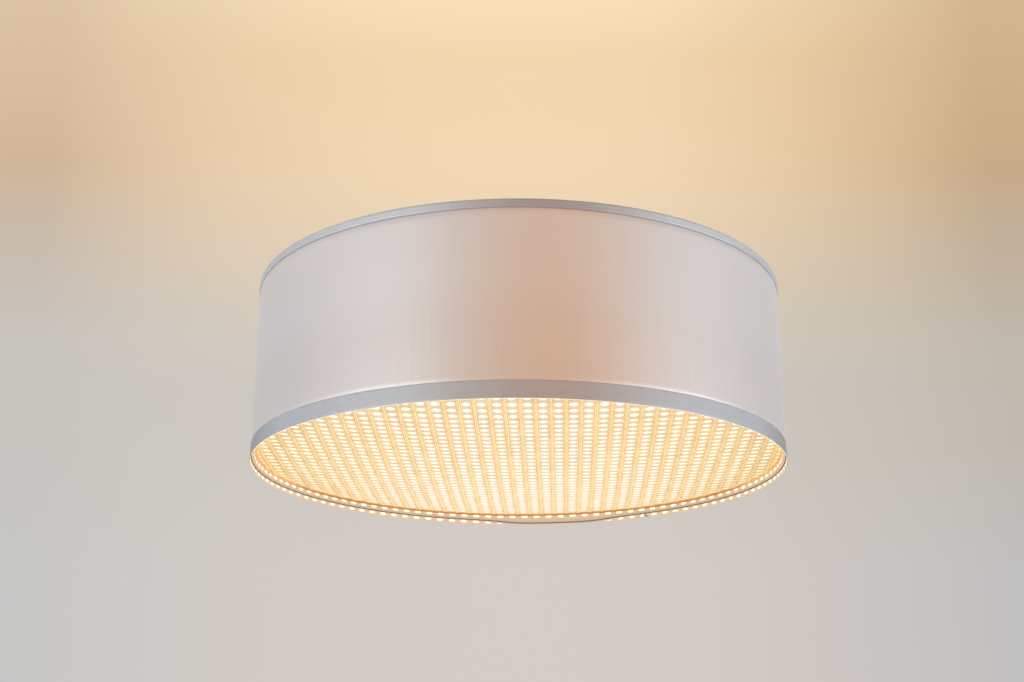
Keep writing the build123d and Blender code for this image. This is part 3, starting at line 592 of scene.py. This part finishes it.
def cloth_piece(name, points, faces, runs, finish, thickness=0.0):
    """A sheet of cloth from its points and faces; runs are lengths along and across it."""
    mesh = bpy.data.meshes.new(name)
    mesh.from_pydata(points, [], faces)
    layer = mesh.uv_layers.new(name="run")
    for loop in mesh.loops:
        layer.data[loop.index].uv = runs[loop.vertex_index]
    mesh.materials.append(finishes[finish])
    mesh.shade_smooth()
    piece = bpy.data.objects.new(name, mesh)
    scene.collection.objects.link(piece)
    if thickness:
        thicken(piece, thickness)
        piece.select_set(False)
    return piece


def around(radius, angle, height):
    return (radius * math.cos(angle), radius * math.sin(angle), height)


def band_faces(rows, closed=False, skip=None):
    """Faces of a band round the drum that has so many points at each of its ROUND_STEPS."""
    faces = []
    for step in range(ROUND_STEPS):
        here, there = step * rows, (step + 1) % ROUND_STEPS * rows
        for row in range(rows if closed else rows - 1):
            if skip and skip(step, row):
                continue
            after = (row + 1) % rows
            faces.append((here + row, there + row, there + after, here + after))
    return faces


def turned_cloth(name, profile, finish, thickness, skip=None, ripple=0.0):
    """Cloth that runs round the drum; the profile is (radius, height), outer side first."""
    lengths = [0.0]
    for before, after in zip(profile, profile[1:]):
        lengths.append(lengths[-1] + math.dist(before, after))
    points, runs = [], []
    for step in range(ROUND_STEPS):
        angle = 2 * math.pi * step / ROUND_STEPS
        waves = math.sin(7 * angle + 0.6) + 0.7 * math.sin(17 * angle)
        sway = ripple * (waves + 0.5 * math.sin(41 * angle + 2))
        for (radius, height), length in zip(profile, lengths):
            points.append(around(radius + sway, angle, height))
            runs.append((radius * angle, length))
    faces = [face[::-1] for face in band_faces(len(profile), skip=skip)]
    return cloth_piece(name, points, faces, runs, finish, thickness)


def cover(piece, body, slot, *replaced):
    """The piece rides on its body and stands for CAD nodes, which it hides; the slot is not used.
    """
    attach(piece, body)
    if replaced:
        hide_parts(*replaced)


def drum_satin():
    low, high = max(shade_low[2], BOTTOM_RIM + 4.2 * MM), shade_high[2]
    radius = FABRIC_RADIUS - 0.02 * MM
    rows = 12
    profile = [(radius, high + (low - high) * row / rows) for row in range(rows + 1)]
    piece = turned_cloth("drum_satin", profile, "satin", CLOTH_THICKNESS, ripple=0.02 * MM)
    cover(piece, "shade", "fabric", "shade_fabric")


def drum_film():
    """Stiff film that carries the satin; it ends just above the folded lower rim."""
    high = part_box("shade_film")[1][2]
    low = BOTTOM_RIM + 4.4 * MM
    bpy.ops.mesh.primitive_cylinder_add(
        vertices=ROUND_STEPS,
        radius=FABRIC_RADIUS - FILM_THICKNESS,
        depth=high - low,
        end_fill_type="NOTHING",
        location=(0, 0, (high + low) / 2),
    )
    film = bpy.context.object
    film.name = "drum_film"
    bpy.ops.object.transform_apply(location=True)
    thicken(film, FILM_THICKNESS)
    bpy.ops.object.shade_smooth_by_angle(angle=math.radians(40))
    film.data.materials.clear()
    film.data.materials.append(finishes["film"])
    film.select_set(False)
    cover(film, "shade", "film", "shade_film")


def arc_points(centre, radius, start, end, steps):
    """Points of an arc between two angles in degrees."""
    points = []
    for step in range(steps + 1):
        angle = math.radians(start + (end - start) * step / steps)
        points.append((centre[0] + radius * math.cos(angle), centre[1] + radius * math.sin(angle)))
    return points


def top_hem():
    """Tape folded over the top wire, slit on its inside for the carrier's arms."""
    outer = TAPE_RADIUS
    inner = outer - 5.6 * MM
    low = tape_low[2]
    fold = 1.3 * MM
    profile = [
        (FABRIC_RADIUS + 0.02 * MM, low),
        (FABRIC_RADIUS + 0.25 * MM, low + 0.3 * MM),
        (FABRIC_RADIUS + 0.3 * MM, low + 0.9 * MM),
        (outer - 0.1 * MM, TOP_RIM - 2.4 * MM),
        (outer, TOP_RIM - 1.7 * MM),
    ]
    profile += arc_points((outer - fold, TOP_RIM - fold), fold, 0, 90, 5)
    profile += arc_points((inner + fold, TOP_RIM - fold), fold, 90, 180, 5)
    arm_row = len(profile)
    profile += [(inner, TOP_RIM - 1.8 * MM), (inner, TOP_RIM - 4.2 * MM), (inner, low)]
    arms = [round(math.degrees(angle)) % 360 for angle in LAMP_ANGLES]

    def slit(step, row):
        return row >= arm_row and any((step - arm + 2) % 360 < 4 for arm in arms)

    piece = turned_cloth("top_hem", profile, "tape", CLOTH_THICKNESS, skip=slit)
    cover(piece, "shade", "tape", "top_tape")


def bottom_hem():
    """Tape over the lower end of the satin, turned in at its lower edge."""
    outer = TAPE_RADIUS
    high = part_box("bottom_tape")[1][2]
    edge = BOTTOM_RIM - 0.3 * MM
    profile = arc_points((outer - 0.2 * MM, edge + 0.5 * MM), 0.5 * MM, -60, 0, 3)
    profile += [
        (outer + 0.3 * MM, edge + 1.2 * MM),
        (outer + 0.26 * MM, edge + 1.8 * MM),
        (FABRIC_RADIUS + 0.34 * MM, high - 1.5 * MM),
        (FABRIC_RADIUS + 0.3 * MM, high - 0.9 * MM),
        (FABRIC_RADIUS + 0.25 * MM, high - 0.3 * MM),
        (FABRIC_RADIUS + 0.02 * MM, high),
    ]
    piece = turned_cloth("bottom_hem", profile[::-1], "tape", CLOTH_THICKNESS)
    cover(piece, "shade", "tape", "bottom_tape")


# ---------------------------------------------------------------- net
def dome_height(x, y):
    """Underside of the opal disc under a point."""
    sag_radius = (DISC_RADIUS**2 + SAG**2) / (2 * SAG)
    return disc_low[2] + sag_radius - math.sqrt(sag_radius**2 - x * x - y * y)


def stretched(y):
    """The rows are pulled wider apart at the near rim, and closer just behind it."""
    start, flat_start = PULL_START, PULL_START_FLAT
    for pull, reach in ROW_PULLS:
        if y < flat_start + reach / pull or pull == 1.0:
            return start + (y - flat_start) * pull
        start, flat_start = start + reach, flat_start + reach / pull


def spread_out(x, y):
    moved_y = stretched(y)
    return x * (1 + FAN * moved_y) + TURN * moved_y, moved_y


def net_place(x, y, depth):
    """Where a point of the flat net lies on the lamp: fanned and turned a little, and sagging."""
    moved_x, moved_y = spread_out(x, y)
    pulled_in = min(1.0, NET_EDGE / max(math.hypot(moved_x, moved_y), MM))
    moved_x, moved_y = moved_x * pulled_in, moved_y * pulled_in
    return (moved_x, moved_y, dome_height(moved_x, moved_y) - depth)


def thread_tube(centres, radius, sides):
    """Points and faces of an open tube along centres, each (x, y, depth, swell)."""
    points, faces = [], []
    for index, (x, y, depth, swell) in enumerate(centres):
        before = centres[max(index - 1, 0)]
        after = centres[min(index + 1, len(centres) - 1)]
        run = Vector((after[0] - before[0], after[1] - before[1], 0)).normalized()
        side = Vector((-run.y, run.x, 0))
        for corner in range(sides):
            turn = 2 * math.pi * corner / sides
            out = side * math.cos(turn) * radius * swell
            down = math.sin(turn) * radius * swell * CORD_SQUASH
            points.append((x + out.x, y + out.y, depth + down))
    for ring in range(len(centres) - 1):
        for corner in range(sides):
            following = (corner + 1) % sides
            a, b = ring * sides + corner, ring * sides + following
            faces.append((a, b, b + sides, a + sides))
    return points, faces


def woven(name, strands, finish):
    """One piece of cloth from strands of the flat net; each has points and faces."""
    points, faces, runs = [], [], []
    for strand_points, strand_faces in strands:
        start = len(points)
        for x, y, depth in strand_points:
            points.append(net_place(x, y, depth))
            runs.append((x, y))
        faces += [tuple(start + corner for corner in face) for face in strand_faces]
    return cloth_piece(name, points, faces, runs, finish)


def inside_net(x, y):
    moved_x, moved_y = spread_out(x, y)
    return math.hypot(moved_x, moved_y) < NET_EDGE + 1.5 * MM


def net_pillars():
    """Chain-stitched cord between the columns of holes, with a thinner one along each side."""
    columns = int(SHEET_RADIUS / NET_PITCH) + 2
    step = NET_ROW_PITCH / STITCHES_PER_HOLE
    reach = int(SHEET_RADIUS / step) + 4
    tubes = []
    for column in range(-columns, columns + 1):
        for offset, radius, depth, sides in CORDS:
            x = column * NET_PITCH + offset * MM
            centres = []
            for stitch in range(-reach, reach + 1):
                y = stitch * step
                if inside_net(x, y):
                    waist = 1.0 if stitch % 2 else 0.86
                    lean = 0.12 * MM * (stitch % 4 - 2) if stitch % 2 else 0.0
                    centres.append((x + lean, y, depth * MM, waist))
            if len(centres) > 2:
                tubes.append(thread_tube(centres, radius * MM, sides))
    return woven("net_pillars", tubes, "pillar")


def bar_between_holes(middle_x, middle_y):
    """Bar of three threads that splay towards its ends, so that the holes come out oval."""
    points, faces = [], []
    steps, lanes = 8, 6
    swells = (0.0, 0.42, 0.26, 0.42, 0.26, 0.42, 0.0)
    for step in range(steps + 1):
        across = -1 + 2 * step / steps
        inside = max(0.0, 1 - abs(across * BAR_HALF_WIDTH / HOLE_HALF_WIDTH) ** 1.7) ** 0.8
        reach = NET_ROW_PITCH / 2 - HOLE_HALF_LENGTH * inside
        for lane, swell in enumerate(swells):
            x, y = middle_x + across * BAR_HALF_WIDTH, middle_y + reach * (lane / 3 - 1)
            points.append((x, y, swell * MM))
    for step in range(steps):
        for lane in range(lanes):
            a = step * (lanes + 1) + lane
            faces.append((a + 1, a, a + lanes + 1, a + lanes + 2))
    return points, faces


def net_rungs():
    columns = int(SHEET_RADIUS / NET_PITCH) + 2
    rows = int(SHEET_RADIUS / NET_ROW_PITCH) + 2
    bars = []
    for column in range(-columns, columns + 1):
        for row in range(-rows, rows + 1):
            middle_x = column * NET_PITCH
            middle_y = (row + ROW_SHIFT) * NET_ROW_PITCH
            if inside_net(middle_x, middle_y):
                bars.append(bar_between_holes(middle_x, middle_y))
    return woven("net_rungs", bars, "rung")


def opal_sheet():
    """Sagging opal sheet: a disc drawn in towards its middle ring by ring, and then thickened."""
    rings = 16
    inset = SHEET_RADIUS / (rings + 0.5)
    bpy.ops.mesh.primitive_circle_add(
        vertices=240,
        radius=SHEET_RADIUS,
        fill_type="NGON",
        location=(0, 0, dome_height(SHEET_RADIUS, 0)),
    )
    sheet = bpy.context.object
    sheet.name = "opal_sheet"
    bpy.ops.object.transform_apply(location=True)
    bpy.ops.object.mode_set(mode="EDIT")
    bpy.ops.mesh.select_all(action="SELECT")
    for ring in range(rings):
        outer, inner = SHEET_RADIUS - ring * inset, SHEET_RADIUS - (ring + 1) * inset
        bpy.ops.mesh.inset(thickness=inset)
        bpy.ops.transform.translate(value=(0, 0, dome_height(inner, 0) - dome_height(outer, 0)))
    bpy.ops.mesh.select_all(action="SELECT")
    bpy.ops.mesh.normals_make_consistent(inside=False)
    bpy.ops.object.mode_set(mode="OBJECT")
    thicken(sheet, SHEET_THICKNESS, -1.0 if sheet.data.polygons[0].normal.z < 0 else 1.0)
    bpy.ops.object.shade_smooth_by_angle(angle=math.radians(40))
    sheet.data.materials.append(finishes["opal"])
    sheet.select_set(False)
    cover(sheet, "diffuser", "opal", "diffuser_disc")


def ring_of_wire(name, radius, height, thickness, finish):
    bpy.ops.mesh.primitive_torus_add(
        major_radius=radius,
        minor_radius=thickness / 2,
        major_segments=240,
        minor_segments=12,
        location=(0, 0, height),
    )
    ring = bpy.context.object
    ring.name = name
    bpy.ops.object.transform_apply(location=True)
    bpy.ops.object.shade_smooth()
    ring.data.materials.append(finishes[finish])
    ring.select_set(False)
    return ring


def net_border():
    """Plain band at the net's edge, held by the binding."""
    profile = []
    for radius in (SHEET_RADIUS, SHEET_RADIUS - 0.3 * MM, SHEET_RADIUS - 0.6 * MM):
        profile.append((radius, dome_height(radius, 0) - 0.5 * MM))
    return turned_cloth("net_border", profile, "binding", 0.3 * MM)


def diffuser_net():
    pillars, rungs, border = net_pillars(), net_rungs(), net_border()
    cover(pillars, "diffuser", "net", "diffuser_net")
    for piece in (rungs, border):
        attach(piece, "diffuser")


# ---------------------------------------------------------------- rim lining
def rim_path(angle):
    """Section of the lining: inner wall, under the rim wire to a crease, down the tape's inside."""
    drop = HANG / (1 + ((math.degrees(angle) - HANG_MIDDLE) / HANG_HALF_WIDTH) ** 6)
    path = [(LINING_RADIUS, BOTTOM_RIM + 16 * MM), (LINING_RADIUS, BOTTOM_RIM + 7.6 * MM)]
    for out, up, share in ((0.05, 5.0, 0.0), (0.5, 4.15, 0.35), (1.2, 3.65, 0.6), (1.8, 3.45, 0.8)):
        path.append((LINING_RADIUS + out * MM, BOTTOM_RIM + up * MM - share * drop))
    path.append((CREASE_PLACE[0], CREASE_PLACE[1] - drop))
    path.append((TAPE_RADIUS - 0.25 * MM, BOTTOM_RIM - 0.5 * MM))
    return path


def along_path(path, start, length):
    """Point at a length along a path from one of its corners."""
    for first, second in zip(path[start:], path[start + 1 :]):
        leg = math.dist(first, second)
        if length <= leg:
            break
        length -= leg
    part = min(length / leg, 1.0)
    return [first[k] + (second[k] - first[k]) * part for k in (0, 1)]


def lining_point(path, leg, part):
    """A point of the lining, and its length along the cloth.

    Parts -1 and 1 of a leg end the cell round its hole, -2 and 2 the leg itself. Without a leg,
    the part is the length down the plain inner wall.
    """
    if leg is None:
        return (path[0][0], path[0][1] - part), part
    first, last, before, middle, half_height = leg
    length = sum(math.dist(path[corner], path[corner + 1]) for corner in range(first, last))
    fit = min(1.0, max(0.01, (length - 2.2 * MM) / (1.6 * MM)))
    centre = min(middle, length - 1.3 * fit * half_height)
    margin = RIM_CELL_MARGIN * fit * half_height
    if part < -1:
        down = (centre - margin) * (part + 2)
    elif part > 1:
        down = centre + margin + (length - centre - margin) * (part - 1)
    else:
        down = centre + part * margin
    return along_path(path, first, down), before + down


def lined_rim():
    """Net cloth round the lower edge, with a row of holes inside the crease and one beyond it."""
    holes = round(2 * math.pi * LINING_RADIUS / RIM_HOLE_PITCH)
    points, faces, runs = [], [], []

    def add(step, leg, part):
        angle = 2 * math.pi * step / holes
        (radius, height), length = lining_point(rim_path(angle), leg, part)
        points.append(around(radius, angle, height))
        runs.append((angle * LINING_RADIUS, length))

    def strip(steps, leg, parts):
        """Plain cloth between a row of points at each step."""
        start, rows = len(points), len(parts)
        for step in steps:
            for part in parts:
                add(step, leg, part)
        for column in range(len(steps) - 1):
            for row in range(rows - 1):
                a = start + column * rows + row
                faces.append((a, a + 1, a + rows + 1, a + rows))

    def cell(hole, leg):
        """Cloth between a round hole and the square cell about it."""
        start = len(points)
        for is_hole in (True, False):
            for corner in range(RIM_HOLE_CORNERS):
                turn = 2 * math.pi * corner / RIM_HOLE_CORNERS
                u, v = math.cos(turn), math.sin(turn)
                big = max(abs(u), abs(v))
                across, part = u / big / 2, v / big
                if is_hole:
                    across, part = u * RIM_HOLE_SHARE, v / RIM_CELL_MARGIN
                add(hole + 0.5 + across, leg, part)
        outside = start + RIM_HOLE_CORNERS
        for corner in range(RIM_HOLE_CORNERS):
            following = (corner + 1) % RIM_HOLE_CORNERS
            faces.append((start + corner, start + following, outside + following, outside + corner))

    for hole in range(holes):
        steps = [hole + part for part in (0.0, 0.293, 0.5, 0.707, 1.0)]
        strip(steps, None, (0.0, 4.2 * MM, 8.4 * MM))
        for leg in RIM_LEGS:
            strip(steps, leg, (-2.0, -1.0))
            strip(steps, leg, (1.0, 1.25, 1.5, 1.75, 2.0))
            cell(hole, leg)
    lining = cloth_piece("rim_net_cloth", points, faces, runs, "rim_cloth")
    bpy.context.view_layer.objects.active = lining
    lining.select_set(True)
    bpy.ops.object.mode_set(mode="EDIT")
    bpy.ops.mesh.select_all(action="SELECT")
    bpy.ops.mesh.remove_doubles(threshold=0.02 * MM)
    bpy.ops.mesh.normals_make_consistent(inside=False)
    bpy.ops.object.mode_set(mode="OBJECT")
    lining.select_set(False)
    cover(lining, "shade", "lining", "rim_lining")


def rim_glow_film():
    """Film behind the lining's holes whose glow is painted light, standing in for the lamps' light
    showing through them.
    """
    points, runs = [], []
    for step in range(ROUND_STEPS):
        angle = 2 * math.pi * step / ROUND_STEPS
        path = rim_path(angle)
        section = [(radius + 0.15 * MM, height + 0.15 * MM) for radius, height in path[1:CREASE]]
        section += [(radius + 0.06 * MM, height + 0.1 * MM) for radius, height in path[CREASE:]]
        for index, (radius, height) in enumerate(section):
            points.append(around(radius, angle, height))
            runs.append((radius * angle, index * MM))
    glow = cloth_piece("rim_glow_film", points, band_faces(len(section)), runs, "rim_glow")
    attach(glow, "shade")


def rim_wire():
    """Plated wire that the lining and the lower tape are folded round."""
    wire = ring_of_wire("rim_wire", *WIRE_PLACE, WIRE_THICKNESS, "wire")
    cover(wire, "shade", "carrier", "bottom_wire")


def ledge_and_binding():
    """Wire ledge that the opal sheet lies on, and the sheet's own edge binding."""
    radius, height = SHEET_RADIUS + 0.3 * MM, BOTTOM_RIM + LEDGE_HEIGHT
    ledge = ring_of_wire("ledge_wire", radius, height, LEDGE_THICKNESS, "ledge")
    cover(ledge, "shade", "ledge", "diffuser_ledge")
    radius, height = SHEET_RADIUS + 0.15 * MM, dome_height(SHEET_RADIUS, 0) + 0.5 * MM
    binding = ring_of_wire("sheet_binding", radius, height, 1.0 * MM, "binding")
    cover(binding, "diffuser", "binding", "diffuser_binding")


def rim_edging():
    """Thin edging thread sewn along the crease of the lining; its dark colour is partly painted
    shade of the crease.
    """
    points, runs = [], []
    sides = 8
    for step in range(ROUND_STEPS):
        angle = 2 * math.pi * step / ROUND_STEPS
        radius, height = rim_path(angle)[CREASE]
        for side in range(sides):
            turn = 2 * math.pi * side / sides
            out, up = EDGING_RADIUS * math.cos(turn), EDGING_RADIUS * math.sin(turn)
            points.append(around(radius + out, angle, height + up))
            runs.append((radius * angle, side * 0.3 * MM))
    faces = band_faces(sides, closed=True)
    edging = cloth_piece("rim_edging", points, faces, runs, "edging")
    cover(edging, "shade", "piping", "rim_piping")


def back_overlap():
    """Glued overlap of the satin down the back, with its cut edge proud."""
    low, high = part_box("back_seam")
    columns, rows = 10, 10
    half = 5.0 * MM
    points, runs, faces = [], [], []
    for column in range(columns + 1):
        across = -half + 2 * half * column / columns
        radius = FABRIC_RADIUS + (0.34 * MM if 0 < column < columns else 0.05 * MM)
        angle = math.pi / 2 + across / radius
        for row in range(rows + 1):
            height = low[2] + (high[2] - low[2]) * row / rows
            points.append(around(radius, angle, height))
            runs.append((across, height))
    for column in range(columns):
        for row in range(rows):
            a = column * (rows + 1) + row
            faces.append((a, a + 1, a + rows + 2, a + rows + 1))
    seam = cloth_piece("back_overlap", points, faces, runs, "satin")
    cover(seam, "shade", "seam", "back_seam")


drum_film()
drum_satin()
top_hem()
bottom_hem()
back_overlap()
lined_rim()
rim_wire()
rim_glow_film()
rim_edging()
ledge_and_binding()
opal_sheet()
diffuser_net()


# ---------------------------------------------------------------- ceiling and light
def ceiling():
    """Ceiling seen behind the drum, with light painted into its colour: a warm pool of the lamp's
    light nearest the drum, greyer farther off and to the left and right, and a little darker to the
    right; from above it is clear.
    """
    bpy.ops.mesh.primitive_plane_add(size=16, location=(0, 3, 0.6 * MM))
    plane = bpy.context.object
    plane.name = "ceiling"
    bpy.ops.object.transform_apply(location=True)
    paint_and_light = Finish("ceiling_paint_and_light", srgb(220, 214, 206), 0.9)
    x, y, _ = paint_and_light.axes()
    away = paint_and_light.span(y, -0.45, 1.35, shape="LINEAR")
    middle = paint_and_light.ramp(
        away,
        (0.02, srgb(249, 225, 187)),
        (0.06, srgb(242, 215, 174)),
        (0.14, srgb(242, 217, 181)),
        (0.20, srgb(236, 213, 183)),
        (0.30, srgb(218, 207, 190)),
        (0.42, srgb(208, 202, 194)),
        (1.00, srgb(212, 204, 198)),
    )
    sides = paint_and_light.ramp(
        away,
        (0.02, srgb(221, 196, 165)),
        (0.14, srgb(208, 182, 153)),
        (0.21, srgb(201, 187, 172)),
        (0.34, srgb(200, 196, 190)),
        (1.00, srgb(199, 199, 198)),
    )
    camera_back, nearest, half_view = 1.12, 0.55, 0.335
    distance = paint_and_light.math("MAXIMUM", paint_and_light.math("ADD", y, camera_back), nearest)
    aside = paint_and_light.math("DIVIDE", x, paint_and_light.math("MULTIPLY", distance, half_view))
    spread = paint_and_light.math("POWER", paint_and_light.math("ABSOLUTE", aside), 2.1)
    tone = paint_and_light.mix(spread, middle, sides)
    # Painted shade: towards the right the ceiling is a little darker, and warmer near the drum.
    right = paint_and_light.mix(away, (0.91, 0.86, 0.74, 1.0), (0.92, 0.91, 0.92, 1.0))
    shaded = paint_and_light.mix(1.0, tone, right, "MULTIPLY")
    tone = paint_and_light.mix(paint_and_light.span(aside, 0.3, 1.0, shape="LINEAR"), tone, shaded)
    shine = paint_and_light.node("ShaderNodeEmission", {"Color": tone, "Strength": 1.0}).outputs[0]
    clear = paint_and_light.node("ShaderNodeBsdfTransparent").outputs[0]
    behind = paint_and_light.node("ShaderNodeNewGeometry").outputs["Backfacing"]
    from_above = paint_and_light.math("SUBTRACT", 1.0, behind)
    seen = paint_and_light.node("ShaderNodeMixShader", {0: from_above, 1: shine, 2: clear})
    paint_and_light.feed(paint_and_light.output.inputs["Surface"], seen.outputs[0])
    plane.data.materials.append(paint_and_light.material)
    plane.visible_diffuse = False
    plane.visible_shadow = False
    plane.select_set(False)


PANEL_DISTANCE = 1.6
PANEL_HEIGHT = -0.25
PANEL_SIZE = (0.7, 1.0)
PANEL_COLOUR = (1.0, 0.99, 0.99)
PANEL_TARGET = Vector((0, 0, -0.09))


def softbox(name, azimuth, power):
    """Upright panel facing the drum; azimuth 0 is the camera's side, positive to the right."""
    turn = math.radians(azimuth)
    ahead, aside = -math.cos(turn) * PANEL_DISTANCE, math.sin(turn) * PANEL_DISTANCE
    place = Vector((aside, ahead, PANEL_HEIGHT))
    bpy.ops.object.light_add(type="AREA", location=place)
    light = bpy.context.object
    light.name = name
    light.data.shape = "RECTANGLE"
    light.data.size, light.data.size_y = PANEL_SIZE
    light.data.energy = power
    light.data.color = PANEL_COLOUR
    aim = PANEL_TARGET - place
    light.rotation_euler = aim.to_track_quat("-Z", "Y").to_euler()
    light.select_set(False)


def room_light():
    """Soft light from all round; what the camera sees of the room is a pale grey."""
    world = bpy.data.worlds.new("room")
    scene.world = world
    world.use_nodes = True
    tree = world.node_tree
    back = tree.nodes["Background"]
    back.inputs["Color"].default_value = (0.93, 0.94, 0.97, 1.0)
    back.inputs["Strength"].default_value = 0.22
    pale = tree.nodes.new("ShaderNodeBackground")
    pale.inputs["Color"].default_value = srgb(208, 204, 199)
    pale.inputs["Strength"].default_value = 1.0
    path = tree.nodes.new("ShaderNodeLightPath")
    seen = path.outputs["Is Camera Ray"]
    for ray in ("Is Glossy Ray", "Is Transmission Ray"):
        either = tree.nodes.new("ShaderNodeMath")
        either.operation = "MAXIMUM"
        tree.links.new(seen, either.inputs[0])
        tree.links.new(path.outputs[ray], either.inputs[1])
        seen = either.outputs[0]
    mix = tree.nodes.new("ShaderNodeMixShader")
    tree.links.new(seen, mix.inputs[0])
    tree.links.new(back.outputs[0], mix.inputs[1])
    tree.links.new(pale.outputs[0], mix.inputs[2])
    tree.links.new(mix.outputs[0], tree.nodes["World Output"].inputs["Surface"])


# Azimuth in degrees and power in watts.
PANELS = {
    "left_panel_front": (-45, 9.5),
    "left_panel_side": (-70, 5.1),
    "right_panel_front": (45, 4.9),
    "right_panel_side": (70, 9.9),
    "right_panel_back": (95, 0.7),
    "rear_panel_left": (-150, 6.0),
    "rear_panel_right": (150, 6.0),
}

ceiling()
for panel, (azimuth, power) in PANELS.items():
    softbox(panel, azimuth, power)
room_light()
